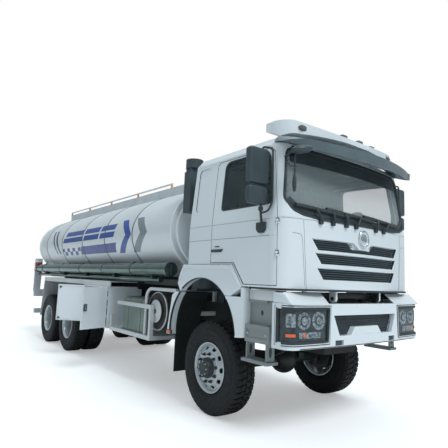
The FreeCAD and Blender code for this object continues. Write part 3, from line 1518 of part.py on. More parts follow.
def build_cab():
    """The hollow cab shell, its doors and all its glass."""
    wall = float(d.cab_wall)
    outer = cab_form(0)
    inner = cab_form(wall, float(d.floor_thickness))
    reach = float(d.half_width) + 60
    wheelhouse = side_cut([(-900, 1400), (640, 1400), (float(d.door_toe) - 8,
                          float(d.cab_bottom) - 1), (float(d.door_heel) - 4,
                          float(d.cab_wheelhouse)), (-900, float(d.cab_wheelhouse))],
                          -reach, reach)
    floor_top = float(d.cab_wheelhouse) + float(d.floor_thickness)
    raised = side_cut([(-900, 1400), (700, 1400), (float(d.door_toe) + 45,
                      float(d.cab_bottom) - 1), (float(d.door_heel) + 34, floor_top),
                      (-900, floor_top)], -reach, reach)
    inner = inner.cut(raised)
    shell = outer.cut(inner).cut(wheelhouse)
    side_walls = outer.cut(cab_form(wall, -60.0)).cut(wheelhouse)
    core = cab_form(wall + float(d.seam) * 2, -60.0)
    screen = front_cut(screen_outline(), 1000, 1600)
    shell = shell.cut(screen)
    for tool in front_details():
        shell = shell.cut(tool)
    radius = float(d.roundel_radius)
    roundel = Part.makeCylinder(radius, 400, Vector(1200, 0, float(d.roundel_height)),
                                Vector(1, 0, 0)).common(cab_form(-12)).cut(cab_form(40))
    shell = shell.fuse(roundel)
    gap = float(d.seam)
    doors = {}
    for sign in (1, -1):
        low, high = sorted((sign * (float(d.gutter_half_width) - 130), sign * reach))
        hole = side_cut(door_outline(), low, high).cut(core)
        leaf = side_walls.common(side_cut(door_outline(gap), low, high))
        notch, pillar, door_lug = hinge_tools(sign)
        shell = shell.cut(hole).cut(notch).fuse(pillar).cut(quarter_dish(low, high))
        window = side_cut(window_outline(), low, high)
        leaf = leaf.cut(window).cut(notch).fuse(door_lug)
        doors[sign] = leaf.removeSplitter()
    lugs = [tilt_lug(1), tilt_lug(-1)]
    shell = shell.multiFuse(lugs).removeSplitter()
    subpart("cab_shell", [shaped("CabShell", shell)])

    depth = float(d.glass_depth)
    thin = float(d.glass_thickness)
    pane = cab_form(depth).cut(cab_form(depth + thin))
    margin = float(d.fit_gap)
    screen_glass = pane.common(front_cut(screen_outline(margin), 1000, 1600))
    subpart("windscreen", [shaped("Windscreen", screen_glass)])
    for word, sign in (("left", 1), ("right", -1)):
        low, high = sorted((sign * 1000, sign * reach))
        glass = pane.common(side_cut(window_outline(margin), low, high))
        subpart("door_" + word, [shaped("Door" + word, doors[sign])])
        subpart("door_glass_" + word, [shaped("DoorGlass" + word, glass)])


def build_mirrors():
    """Two tall mirror housings on bent arms from each door."""
    for word, sign in (("left", 1), ("right", -1)):
        skin = float(d.half_width) - 30
        pad = side_cut([(915, 2265), (915, 2180), (945, 2152), (1020, 2152), (1050, 2180),
                        (1050, 2265)], skin + 30.3, skin + 66)
        upper = Part.makeBox(85, 272, 390, Vector(1000, 1262, 2660))
        upper = upper.makeFillet(30, [edge for edge in upper.Edges if edge.Length > 84])
        lower = Part.makeBox(75, 262, 190, Vector(1005, 1266, 2440))
        lower = lower.makeFillet(26, [edge for edge in lower.Edges if edge.Length > 74])
        spine = Part.makeCylinder(16, 430, Vector(1042, 1330, 2350))
        foot = Part.makeCylinder(14, 175, Vector(990, 1266, 2215), Vector(52, 64, 138))
        whole = pad.multiFuse([upper, lower, spine, foot])
        if sign < 0:
            whole = whole.mirror(Vector(), Vector(0, 1, 0))
        subpart("mirror_" + word, [shaped("Mirror" + word, whole.removeSplitter())])


def build_roof():
    """The white air guide over the roof's front edge and the smoked peak below it."""
    side = side_cut([(850, 3453), (850, 3352), (960, 3322), (1070, 3262), (1200, 3300),
                     (1330, 3318), (1320, 3384), (1180, 3446)], -1110, 1110)
    plan = Part.Face(plan_wire(1335, 1100, 800, 3000, 260, 140)).extrude(Vector(0, 0, 700))
    roof_skin = cab_form(-float(d.fit_gap))
    guide = side.common(plan).cut(roof_skin)
    lamps = []
    for place in (-870, -185, 135, 425, 870):
        back = 1250 - (place * place) / 6800.0
        lamps.append(Part.makeBox(64, 96, 44, Vector(back - 30, place - 48, 3392)))
    guide = guide.multiFuse(lamps).removeSplitter()
    solids = sorted(guide.Solids, key=lambda solid: -solid.Volume)
    subpart("roof_guide", [shaped("RoofGuide", solids[0])])

    forms = []
    for inset, drop in ((0, 0), (15, 15)):
        wires = []
        for front, half, height in ((1235, 1075, 3312), (1610, 1192, 3142), (1598, 1182, 2990)):
            wires.append(plan_wire(front - inset, half - inset, 900 - inset, height - drop,
                                   280, 160))
        forms.append(Part.makeLoft(wires, True, True))
    keep = side_cut([(1060, 3172), (1150, 3160), (1400, 3075), (1480, 3032), (1650, 3020),
                     (1650, 3400), (1060, 3400)], -1300, 1300)
    visor = forms[0].cut(forms[1]).common(keep)
    visor = visor.cut(guide).cut(cab_form(-float(d.fit_gap) * 2)).removeSplitter()
    solids = sorted(visor.Solids, key=lambda solid: -solid.Volume)
    subpart("sun_visor", [shaped("SunVisor", solids[0])])


def build_wipers():
    """Three wipers parked along the windscreen's foot."""
    pieces = []
    skin = cab_form(-9)
    near_skin = cab_form(-30)
    for place, tip in ((-720, -1060), (-330, -690), (440, 60)):
        low, high = sorted((place, tip))
        blade = front_cut([(place, 2306), (tip, 2432), (tip, 2452), (place, 2332)], 1100, 1600)
        strip = blade.common(cab_form(-24)).cut(skin)
        pivot = Part.makeCylinder(15, 200, Vector(1280, place, 2320), Vector(1, 0, 0))
        foot = pivot.common(near_skin).cut(cab_form(-float(d.fit_gap)))
        pieces.append(strip.fuse(foot))
    solids = []
    for piece in pieces:
        solids += piece.Solids
    subpart("wipers", [shaped("Wipers", Part.makeCompound(solids))])


def build_interior():
    """Dashboard, steering wheel, two seats and the bunk behind them."""
    floor = float(d.cab_wheelhouse) + float(d.floor_thickness) + float(d.fit_gap)
    dash = side_cut([(1010, 2130), (1120, 2090), (1180, 1900), (1320, 1900), (1320, 2330),
                     (1080, 2330)], -1110, 1110)
    dash = dash.common(cab_form(float(d.cab_wall) + 1, float(d.floor_thickness)))
    leg = Part.makeBox(40, 500, 290, Vector(1240, -250, 1621))
    column = Part.makeCylinder(32, 300, Vector(1060, 560, 2260), Vector(-180, 0, 120))
    wheel = Part.makeTorus(225, 17, Vector(840, 560, 2406), Vector(-180, 0, 120))
    spoke = Part.makeCylinder(230, 14, Vector(846, 560, 2402), Vector(-180, 0, 120)).cut(
        Part.makeCylinder(240, 60, Vector(800, 620, 2300)))
    rear = -float(d.cab_rear) + float(d.cab_wall) + 14 + float(d.fit_gap)
    bunk = Part.makeBox(380, 2080, 330, Vector(rear, -1040, floor))
    seats = []
    for side in (-560, 560):
        base = Part.makeBox(400, 380, 230, Vector(120, side - 190, floor))
        cushion = Part.makeBox(520, 500, 130, Vector(70, side - 250, floor + 230))
        back = side_cut([(70, floor + 300), (190, floor + 300), (110, floor + 980),
                         (20, floor + 980)], side - 240, side + 240)
        head = side_cut([(30, floor + 985), (100, floor + 985), (90, floor + 1150),
                         (20, floor + 1150)], side - 130, side + 130)
        neck = Part.makeBox(20, 120, 40, Vector(55, side - 60, floor + 960))
        seats.append(base.multiFuse([cushion, back, head, neck]).removeSplitter())
    dash_whole = dash.multiFuse([leg, column, wheel, spoke]).removeSplitter()
    subpart("cab_interior", [shaped("Interior", Part.makeCompound(
        dash_whole.Solids + [bunk] + seats))])


def build_front_mirror():
    """The look-down mirror's pod on rods at the right-hand windscreen pillar."""
    pod = Part.makeBox(150, 210, 96, Vector(1420, -1300, 2935))
    pod = pod.makeFillet(34, [edge for edge in pod.Edges if edge.Length > 59])
    arm = Part.makeCylinder(11, 380, Vector(1110, -1090, 2978), Vector(300, -70, 0))
    stem = Part.makeCylinder(9, 260, Vector(1480, -1270, 2700))
    dish = Part.makeBox(60, 34, 200, Vector(1450, -1287, 2530))
    dish = dish.makeFillet(16, [edge for edge in dish.Edges if edge.Length > 59])
    whole = pod.multiFuse([arm, stem, dish]).cut(cab_form(-float(d.fit_gap))).removeSplitter()
    solids = sorted(whole.Solids, key=lambda solid: -solid.Volume)
    subpart("look_down_mirror", [shaped("FrontMirror", solids[0])])


build_bumper()
build_lamps()
build_steps()
build_fenders()
build_cab()
build_mirrors()
build_roof()
build_wipers()
build_interior()
build_front_mirror()


# Check every object and write one file for each sub-part
doc.recompute()
for thing in doc.Objects:
    if {"Invalid", "Error"} & set(thing.State):
        raise RuntimeError("%s did not build: %s" % (thing.Name, thing.State))
os.makedirs("parts", exist_ok=True)
for whole in SUBPARTS:
    if whole.Shape.isNull() or not whole.Shape.isValid() or not whole.Shape.Solids:
        raise RuntimeError("%s is not a valid solid" % whole.Label)
for whole in SUBPARTS:
    whole.Shape.exportStep("parts/%s.step" % whole.Label)
print("%d sub-parts" % len(SUBPARTS))
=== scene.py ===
"""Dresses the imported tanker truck: finishes for the parts and the finer pieces around them.

Lengths are metres. Pieces are drawn from the ground below the first axle, X forward, Y to the
vehicle's left and Z up, and are moved forward by FORWARD when they are finished.
"""
import json
import logging
import math
from dataclasses import dataclass, field, replace
from enum import Enum
from typing import Dict, Iterable, List, Optional, Sequence, Tuple

import bmesh
import bpy
from mathutils import Matrix, Vector
from mathutils.bvhtree import BVHTree


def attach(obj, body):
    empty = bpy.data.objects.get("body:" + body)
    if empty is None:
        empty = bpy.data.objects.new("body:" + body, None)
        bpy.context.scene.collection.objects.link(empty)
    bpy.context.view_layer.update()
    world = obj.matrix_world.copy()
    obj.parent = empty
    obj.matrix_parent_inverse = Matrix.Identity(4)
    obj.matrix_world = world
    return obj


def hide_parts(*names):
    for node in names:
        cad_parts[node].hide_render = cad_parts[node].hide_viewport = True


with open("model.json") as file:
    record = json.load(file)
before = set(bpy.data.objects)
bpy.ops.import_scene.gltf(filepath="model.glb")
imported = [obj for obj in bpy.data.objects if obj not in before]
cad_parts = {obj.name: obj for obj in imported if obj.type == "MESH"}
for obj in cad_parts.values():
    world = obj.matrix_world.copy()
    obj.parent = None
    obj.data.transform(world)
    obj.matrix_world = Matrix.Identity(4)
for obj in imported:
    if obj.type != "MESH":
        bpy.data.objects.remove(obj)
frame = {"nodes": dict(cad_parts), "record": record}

LOG = logging.getLogger("tanker")
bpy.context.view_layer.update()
FORWARD = 3.225
SIDES = ((1.0, "left"), (-1.0, "right"))
SMOOTH_ANGLE = 32.0
GLASS_DEPTH = 0.016
ORIGIN = (0.0, 0.0, 0.0)
Point = Tuple[float, float, float]
Flat = Tuple[float, float]
Levels = Tuple[int, int, int]
Outline = Sequence[Flat]
Socket = bpy.types.NodeSocket


class Axis(Enum):
    """The direction that a shape is turned about or pushed along."""

    X = 0
    Y = 1
    Z = 2


class Slot(Enum):
    """The record's material slots."""

    PAINT = "white_paint"
    TANK = "tank_silver"
    FRAME = "frame_black"
    STEP = "step_grey"
    GUARD = "guard_grey"
    STEEL = "bare_steel"
    ALUMINIUM = "bare_aluminium"
    RIM = "wheel_silver"
    CAST = "cast_dark"
    TYRE = "tyre_rubber"
    FLAP = "flap_rubber"
    TRIM = "trim_plastic"
    VISOR = "visor_plastic"
    INSIDE = "interior_grey"
    LAMP = "lamp_clear"
    GLASS = "cab_glass"


# Finishes


def screen_colour(levels: Levels) -> Point:
    """Turn a colour's screen levels, 0 to 255, into the shader's linear ones."""
    shares = [level / 255.0 for level in levels]
    return tuple(share / 12.92 if share <= 0.04045 else ((share + 0.055) / 1.055) ** 2.4
        for share in shares)


class Nodes:
    """A node tree, with one short way to add, set and join its nodes."""

    def __init__(self, tree: bpy.types.NodeTree) -> None:
        """Hold the tree and empty it."""
        self.tree = tree
        tree.nodes.clear()

    def wire(self, node: bpy.types.Node, inputs: Dict[object, object]) -> bpy.types.Node:
        """Set or join a node's inputs.

        Args:
            node: The node.
            inputs: By name or number, each a socket to join or a value to set.

        Returns:
            The node itself.
        """
        for word, value in inputs.items():
            if isinstance(value, Socket):
                self.tree.links.new(value, node.inputs[word])
            else:
                node.inputs[word].default_value = value
        return node

    def add(self, kind: str, inputs: Optional[Dict[object, object]] = None,
            **settings: object) -> bpy.types.Node:
        """Add a node.

        Args:
            kind: The node's type.
            inputs: Its inputs, as for wire.
            settings: The node's own settings by name.

        Returns:
            The node.
        """
        node = self.tree.nodes.new(kind)
        for word, value in settings.items():
            setattr(node, word, value)
        return self.wire(node, inputs or {})


class Shader(Nodes):
    """A material with one main surface shader and patterns that lie on the object."""

    def __init__(self, name: str) -> None:
        """Start the material."""
        self.material = bpy.data.materials.new(name)
        self.material.use_nodes = True
        super().__init__(self.material.node_tree)
        self.surface = self.add("ShaderNodeBsdfPrincipled")
        self.add("ShaderNodeOutputMaterial", {"Surface": self.surface.outputs["BSDF"]})
        self.place = self.add("ShaderNodeTexCoord").outputs["Object"]

    def noise(self, scale: float, detail: float, stretch: Point = (1.0, 1.0, 1.0)) -> Socket:
        """Add a noise that lies on the object.

        Args:
            scale: Patches per metre.
            detail: Finer layers in each patch.
            stretch: How much faster the pattern changes along each axis.

        Returns:
            The noise's level from 0 to 1.
        """
        mapping = self.add("ShaderNodeMapping", {"Vector": self.place, "Scale": stretch})
        inputs = {"Vector": mapping.outputs["Vector"], "Scale": scale, "Detail": detail}
        return self.add("ShaderNodeTexNoise", inputs).outputs["Fac"]

    def spread(self, level: Socket, start: Flat, end: Flat = (0.0, 1.0)) -> Socket:
        """Map one range of a level onto another, and hold it at both ends."""
        inputs = {"Value": level, "From Min": start[0], "From Max": start[1], "To Min": end[0],
            "To Max": end[1]}
        return self.add("ShaderNodeMapRange", inputs).outputs["Result"]

    def blend(self, share: Socket, first: object, second: object) -> Socket:
        """Mix two colours, each a colour or an output, by how much of the second shows."""
        first, second = ((*value, 1.0) if isinstance(value, tuple) else value
            for value in (first, second))
        mixed = self.add("ShaderNodeMix", {"Factor": share}, data_type="RGBA")
        return self.wire(mixed, {6: first, 7: second}).outputs[2]

    def height(self, low: float, high: float) -> Socket:
        """Give a level that is 1 at a low height and falls to 0 at a high one."""
        split = self.add("ShaderNodeSeparateXYZ", {"Vector": self.place})
        return self.spread(split.outputs["Z"], (low, high), (1.0, 0.0))

    def inward(self, centre: Point) -> Socket:
        """Give a level that is 1 where a hollow piece's face looks towards its middle."""
        normal = self.add("ShaderNodeNewGeometry").outputs["True Normal"]
        facing = self.add("ShaderNodeVectorTransform", {"Vector": normal}, vector_type="NORMAL",
            convert_from="WORLD", convert_to="OBJECT")
        apart = self.add("ShaderNodeVectorMath", {0: self.place, 1: centre}, operation="SUBTRACT")
        ends = {0: apart.outputs["Vector"], 1: facing.outputs["Vector"]}
        product = self.add("ShaderNodeVectorMath", ends, operation="DOT_PRODUCT")
        return self.spread(product.outputs["Value"], (-0.02, 0.02), (1.0, 0.0))

    def relief(self, level: Socket, strength: float, distance: float) -> None:
        """Raise the surface by a level, for light only."""
        bump = self.add("ShaderNodeBump", {"Strength": strength, "Distance": distance, "Height": level})
        self.wire(self.surface, {"Normal": bump.outputs["Normal"]})


@dataclass(frozen=True)
class Finish:
    """One surface: its colours as screen levels, its gloss, its fine relief and its dust."""

    name: str
    slot: Slot
    colour: Levels
    drift: Levels
    patches: float
    roughness: Flat
    metallic: float = 0.0
    coat: float = 0.0
    grain: float = 260.0
    grain_stretch: Point = (1.0, 1.0, 1.0)
    relief: float = 0.03
    relief_depth: float = 0.0006
    dust: float = 0.0
    dust_top: float = 1.0
    dust_colour: Levels = (0, 0, 0)
    # a darker colour on faces that look towards the centre: the inside lining's grey, darkened by
    # painted shade
    lining_and_shade: Optional[Levels] = None
    lining_and_shade_centre: Point = ORIGIN

    def material(self) -> bpy.types.Material:
        """Build the finish's material, or give the one that is already built."""
        found = bpy.data.materials.get(self.name)
        if found:
            return found
        shader = Shader(self.name)
        share = shader.spread(shader.noise(self.patches, 5.0), (0.35, 0.68))
        colour = shader.blend(share, screen_colour(self.colour), screen_colour(self.drift))
        if self.dust:
            low = shader.height(self.dust_top * 0.2, self.dust_top)
            streaks = shader.noise(7.0, 6.0, (1.0, 1.0, 0.45))
            uneven = shader.spread(streaks, (0.3, 0.7), (0.15 * self.dust, self.dust))
            settled = shader.add("ShaderNodeMath", {0: low, 1: uneven}, operation="MULTIPLY")
            colour = shader.blend(settled.outputs[0], colour, screen_colour(self.dust_colour))
        # painted shade: faces that look inward take the darker lining colour
        if self.lining_and_shade:
            inside = shader.inward(self.lining_and_shade_centre)
            colour = shader.blend(inside, colour, screen_colour(self.lining_and_shade))
        fine = shader.noise(self.grain, 4.0, self.grain_stretch)
        gloss = shader.spread(shader.noise(self.patches * 6.0, 4.0), (0.3, 0.7), self.roughness)
        shader.relief(fine, self.relief, self.relief_depth)
        shader.wire(shader.surface, {"Base Color": colour, "Roughness": gloss,
            "Metallic": self.metallic, "Coat Weight": self.coat, "Coat Roughness": 0.06})
        return shader.material


CAB_WHITE = Finish("cab_white", Slot.PAINT, (226, 233, 237), (221, 229, 234), 0.7, (0.2, 0.27),
    coat=0.6, grain=420.0, relief_depth=0.0003, dust=0.16, dust_top=1.5,
    dust_colour=(172, 176, 168))
# cab shell and doors: white outside, inside a dark lining that is partly painted shade
CAB_LINED_SHADED = replace(CAB_WHITE, name="cab_lined_painted_shade", lining_and_shade=(58, 68, 72), lining_and_shade_centre=(3.66, 0.0, 2.4))
TANK_SILVER = Finish("tank_silver", Slot.TANK, (218, 228, 235), (208, 218, 226), 0.5, (0.2, 0.3),
    metallic=0.6, coat=0.35, grain=90.0, grain_stretch=(0.15, 1.0, 4.0), relief=0.05,
    relief_depth=0.0005)
FRAME_BLACK = Finish("frame_black", Slot.FRAME, (16, 20, 22), (27, 31, 32), 3.0, (0.42, 0.62),
    relief=0.2, dust=0.35, dust_top=1.3, dust_colour=(96, 94, 88))
STEP_GREY = Finish("step_grey", Slot.STEP, (190, 202, 206), (120, 130, 132), 5.0, (0.4, 0.55),
    relief=0.15, dust=0.3, dust_top=1.3, dust_colour=(110, 112, 104))
GUARD_GREY = Finish("guard_grey", Slot.GUARD, (196, 204, 206), (182, 190, 192), 3.0, (0.3, 0.45),
    relief=0.1, dust=0.3, dust_top=1.2, dust_colour=(140, 140, 130))
BARE_STEEL = Finish("bare_steel", Slot.STEEL, (150, 152, 152), (120, 122, 122), 6.0, (0.3, 0.5),
    metallic=0.85, relief=0.15)
ALUMINIUM = Finish("bare_aluminium", Slot.ALUMINIUM, (182, 188, 190), (160, 166, 168), 4.0,
    (0.26, 0.42), metallic=0.7, grain=160.0, grain_stretch=(0.2, 1.0, 3.0), relief=0.12)
RIM_SILVER = Finish("rim_silver", Slot.RIM, (196, 203, 206), (186, 194, 198), 2.0, (0.2, 0.26),
    metallic=0.35, relief=0.02, dust=0.1, dust_top=1.1, dust_colour=(92, 92, 88))
HUB_DARK = Finish("hub_dark", Slot.RIM, (50, 58, 62), (68, 74, 76), 12.0, (0.38, 0.55), metallic=0.35,
    grain=140.0, relief=0.35, relief_depth=0.001, dust=0.3, dust_top=0.9, dust_colour=(88, 88, 84))
CAST_DARK = Finish("cast_dark", Slot.CAST, (44, 50, 52), (62, 66, 66), 9.0, (0.45, 0.65), metallic=0.2,
    grain=120.0, relief=0.4, relief_depth=0.001, dust=0.4, dust_top=1.1, dust_colour=(92, 90, 84))
TYRE_BLACK = Finish("tyre_black", Slot.TYRE, (7, 9, 11), (14, 17, 19), 5.0, (0.6, 0.8), grain=320.0,
    relief=0.35, relief_depth=0.0008, dust=0.15, dust_top=1.2, dust_colour=(42, 46, 47))
FLAP_BLACK = Finish("flap_black", Slot.FLAP, (12, 18, 19), (22, 28, 28), 4.0, (0.55, 0.75), relief=0.3,
    dust=0.2, dust_top=1.4, dust_colour=(66, 68, 60))
TRIM_SLATE = Finish("trim_slate", Slot.TRIM, (52, 66, 71), (62, 76, 81), 5.0, (0.34, 0.5), grain=520.0,
    relief=0.18)
VISOR_SMOKE = Finish("visor_smoke", Slot.VISOR, (96, 110, 115), (86, 100, 106), 3.0, (0.12, 0.2),
    coat=0.5)
INSIDE_GREY = Finish("inside_grey", Slot.INSIDE, (112, 120, 124), (98, 106, 110), 6.0, (0.55, 0.75),
    grain=420.0, relief=0.2)
LAMP_CLEAR = Finish("lamp_clear", Slot.LAMP, (214, 222, 226), (198, 208, 214), 8.0, (0.06, 0.14),
    coat=0.8)


class Glass(Enum):
    """The cab's two tints of glass, each partly painted light: the windscreen's pale grey-green is also
    a painted reflection of the sky, and the side glass's dark is also painted shade of the cab's
    inside.
    """

    # pale grey-green: the glass's tint with a painted reflection of the sky
    SCREEN = ("screen_glass_painted_reflection", (0.55, 0.64, 0.66), 0.72)
    # dark: the glass's tint with painted shade of the cab's inside seen through it
    SIDE = ("side_glass_painted_shade", (0.1, 0.14, 0.15), 0.8)

    def material(self) -> bpy.types.Material:
        """Build the glass, a thin sheet that lets light straight through, coloured by its tint and by
        painted light.
        """
        name, colour, through = self.value
        found = bpy.data.materials.get(name)
        if found:
            return found
        shader = Shader(name)
        haze = shader.spread(shader.noise(3.0, 4.0), (0.3, 0.7), (0.02, 0.06))
        tint_and_painted_light = shader.blend(shader.noise(1.2, 3.0), colour, tuple(0.9 * c for c in colour))
        shader.relief(shader.noise(9.0, 2.0), 0.02, 0.001)
        shader.wire(shader.surface, {"Base Color": tint_and_painted_light, "Roughness": haze, "Alpha": 1.0 - through,
            "Specular IOR Level": 0.6})
        return shader.material


# Shapes


def placed(name: str, data: bpy.types.ID) -> bpy.types.Object:
    """Put an object with its data in the scene."""
    made = bpy.data.objects.new(name, data)
    bpy.context.scene.collection.objects.link(made)
    return made


def spot(axis: Axis, along: float, first: float, second: float) -> Point:
    """Place a flat point, given as X or else Y and Z or else Y, in space along an axis."""
    if axis is Axis.X:
        return (along, first, second)
    if axis is Axis.Y:
        return (first, along, second)
    return (first, second, along)


def oval(centre: Flat, half: Flat, steps: int, start: float = 0.0, end: float = 360.0) -> List[Flat]:
    """List points on an oval or an arc of one.

    Args:
        centre: The middle.
        half: Half the width and half the height.
        steps: How many points.
        start: The first angle in degrees.
        end: The last angle in degrees.

    Returns:
        The points in order; a whole oval leaves out the point that closes it.
    """
    count = steps if end - start >= 360.0 else steps - 1
    angles = [math.radians(start + (end - start) * index / count) for index in range(steps)]
    return [(centre[0] + half[0] * math.cos(angle), centre[1] + half[1] * math.sin(angle))
        for angle in angles]


def rounded(low: Flat, high: Flat, radius: float, steps: int = 5) -> List[Flat]:
    """List the outline of a rectangle with round corners.

    Args:
        low: The low corner.
        high: The high corner.
        radius: The corners' radius.
        steps: Points on each corner.

    Returns:
        The outline, anticlockwise.
    """
    points: List[Flat] = []
    near, far = [side + radius for side in low], [side - radius for side in high]
    corners = (far, (near[0], far[1]), near, (far[0], near[1]))
    for number, corner in enumerate(corners):
        points += oval(corner, (radius, radius), steps, 90.0 * number, 90.0 * number + 90.0)
    return points


def run(start: Flat, end: Flat, count: int) -> List[Flat]:
    """List the points of a straight line in a count of even steps."""
    return [tuple(near + (far - near) * step / count for near, far in zip(start, end))
        for step in range(count + 1)]


def peg(low: float, high: float, radius: float) -> List[Flat]:
    """List the profile of a plain peg between two places along its axis."""
    return [(low, 0.0), (low, radius), (high, radius), (high, 0.0)]


def stud(low: float, high: float, radius: float, crown: Flat) -> List[Flat]:
    """List the profile of a peg whose end is a smaller crown, given as place and radius."""
    return [(low, 0.0), (low, radius), (high, radius), crown, (crown[0], 0.0)]


def belt(part: bmesh.types.BMesh, near: Sequence[object], far: Sequence[object]) -> None:
    """Join two closed rings that have as many corners by a belt of faces."""
    for index in range(len(near)):
        after = (index + 1) % len(near)
        part.faces.new((near[index], near[after], far[after], far[index]))


class Shape:
    """Gathers the faces of one piece."""

    def __init__(self) -> None:
        """Start with no faces."""
        self.mesh = bmesh.new()

    def take(self, part: bmesh.types.BMesh, matrix: Optional[Matrix] = None) -> "Shape":
        """Add a finished part's faces, moved by a matrix if one is given."""
        if matrix is not None:
            bmesh.ops.transform(part, matrix=matrix, verts=part.verts)
        held = bpy.data.meshes.new("held")
        part.to_mesh(held)
        part.free()
        self.mesh.from_mesh(held)
        bpy.data.meshes.remove(held)
        return self

    def both_sides(self) -> "Shape":
        """Add the same faces on the truck's other side."""
        return self.take(self.mesh.copy(), Matrix.Scale(-1.0, 4, Vector((0.0, 1.0, 0.0))))

    def on_side(self, sign: float) -> "Shape":
        """Move the faces, drawn on the left, to the right for a sign of -1."""
        bmesh.ops.scale(self.mesh, vec=(1.0, sign, 1.0), verts=self.mesh.verts)
        return self

    def rings(self, rings: Sequence[Sequence[Point]], loop: bool = False) -> "Shape":
        """Skin a row of outlines that have the same number of points.

        Args:
            rings: The outlines in order.
            loop: Whether the last outline joins the first, or each end is closed by a face.

        Returns:
            The shape itself.
        """
        part = bmesh.new()
        rows = [[part.verts.new(point) for point in ring] for ring in rings]
        for near, far in zip(rows, rows[1:] + rows[:1] if loop else rows[1:]):
            belt(part, near, far)
        if not loop:
            part.faces.new(list(reversed(rows[0])))
            part.faces.new(rows[-1])
        return self.take(part)

    def prism(self, outline: Outline, low: float, high: float, axis: Axis = Axis.Y,
            edge: float = 0.0, steps: int = 2) -> "Shape":
        """Push a flat outline from low to high along an axis, with softened edges.

        Args:
            outline: The corners, in the axis's other two coordinates.
            low: Where it starts.
            high: Where it ends.
            axis: The direction that it is pushed along.
            edge: The radius of its edges.
            steps: The steps in that radius.

        Returns:
            The shape itself.
        """
        part = bmesh.new()
        near, far = ([part.verts.new(spot(axis, along, *corner)) for corner in outline]
            for along in (low, high))
        part.faces.new(near)
        part.faces.new(list(reversed(far)))
        belt(part, near, far)
        bmesh.ops.recalc_face_normals(part, faces=part.faces)
        if edge:
            sharp = [line for line in part.edges if line.calc_face_angle(0.0) > 0.5]
            bmesh.ops.bevel(part, geom=sharp, offset=edge, segments=steps, profile=0.5, affect="EDGES",
                clamp_overlap=True)
        return self.take(part)

    def block(self, low: Point, high: Point, edge: float = 0.0, steps: int = 2) -> "Shape":
        """Add a block between two corners, with softened edges."""
        outline = [(low[0], low[2]), (high[0], low[2]), (high[0], high[2]), (low[0], high[2])]
        return self.prism(outline, low[1], high[1], Axis.Y, edge, steps)

    def turned(self, profile: Outline, centre: Point, axis: Axis = Axis.Y, steps: int = 64,
            facing: float = 1.0) -> "Shape":
        """Turn a profile about an axis.

        Args:
            profile: Corners as place along the axis and radius; a radius of 0 closes the end.
            centre: A point on the axis.
            axis: The direction of the axis.
            steps: Faces round the axis.
            facing: 1, or -1 to point the profile the other way along the axis.

        Returns:
            The shape itself.
        """
        part = bmesh.new()
        rows = []
        for along, radius in profile:
            circle = oval((0.0, 0.0), (radius, radius), steps)[:steps if radius > 1e-6 else 1]
            rows.append([part.verts.new(Vector(spot(axis, along * facing, *corner)) + Vector(centre))
                for corner in circle])
        for near, far in zip(rows, rows[1:]):
            for index in range(steps):
                after = (index + 1) % steps
                corners = [near[index % len(near)], near[after % len(near)], far[after % len(far)],
                    far[index % len(far)]]
                unique = list(dict.fromkeys(corners))
                if len(unique) > 2:
                    part.faces.new(unique)
        return self.take(part)

    def tube(self, points: Sequence[Point], radius: float, steps: int = 12,
            bend: float = 0.0) -> "Shape":
        """Bend a round bar along a path.

        Args:
            points: The path's corners.
            radius: The bar's radius.
            steps: Faces round the bar.
            bend: The radius of each bend; 0 leaves sharp corners.

        Returns:
            The shape itself.
        """
        path = [Vector(point) for point in points]
        if bend:
            path = self.eased(path, bend)
        side = (path[1] - path[0]).normalized().orthogonal().normalized()
        rings = []
        for index, point in enumerate(path):
            ahead = path[min(index + 1, len(path) - 1)] - point
            behind = point - path[max(index - 1, 0)]
            way = (ahead.normalized() + behind.normalized()).normalized()
            side = (side - way * side.dot(way)).normalized()
            other = way.cross(side)
            wide = radius
            if 0 < index < len(path) - 1 and not bend:
                wide /= max(0.5, way.dot(behind.normalized()))
            circle = oval((0.0, 0.0), (wide, wide), steps)
            rings.append([tuple(point + side * across + other * up) for across, up in circle])
        return self.rings(rings)

    @staticmethod
    def eased(path: Sequence[Vector], bend: float, steps: int = 6) -> List[Vector]:
        """Round a path's corners.

        Args:
            path: The path's corners.
            bend: How far before a corner its bend starts.
            steps: Points on each bend.

        Returns:
            The rounded path.
        """
        points = [path[0]]
        for before, corner, after in zip(path, path[1:], path[2:]):
            reach = min(bend, (corner - before).length * 0.48, (after - corner).length * 0.48)
            start = corner + (before - corner).normalized() * reach
            end = corner + (after - corner).normalized() * reach
            for step in range(steps + 1):
                share = step / steps
                first = start.lerp(corner, share)
                points.append(first.lerp(corner.lerp(end, share), share))
        return points + [path[-1]]

    def finish(self, name: str, finish: object, body: str = "chassis", replaces: Iterable[str] = (),
            smooth: float = SMOOTH_ANGLE) -> None:
        """Close the piece and put it in the scene; the arguments are those of dress."""
        data = bpy.data.meshes.new(name)
        bmesh.ops.remove_doubles(self.mesh, verts=self.mesh.verts, dist=1e-5)
        bmesh.ops.translate(self.mesh, verts=self.mesh.verts, vec=(FORWARD, 0.0, 0.0))
        bmesh.ops.recalc_face_normals(self.mesh, faces=self.mesh.faces)
        self.mesh.to_mesh(data)
        self.mesh.free()
        dress(name, data, finish, body, replaces, smooth)


def dress(name: str, data: bpy.types.Mesh, finish: object, body: str, replaces: Iterable[str],
        smooth: float) -> None:
    """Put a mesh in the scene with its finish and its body.

    Args:
        name: The piece's name.
        data: The mesh, already in place.
        finish: The piece's finish.
        body: The body that it rides on.
        replaces: The solids that it stands for.
        smooth: Edges under this angle in degrees are shaded smooth.
    """
    data.shade_smooth()
    data.set_sharp_from_angle(angle=math.radians(smooth))
    data.materials.clear()
    data.materials.append(finish.material())
    piece = placed(name, data)
    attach(piece, body)
    if replaces:
        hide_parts(*replaces)
    LOG.info("%s: %d faces on %s", name, len(data.polygons), body)


# Repeats, made by geometry nodes


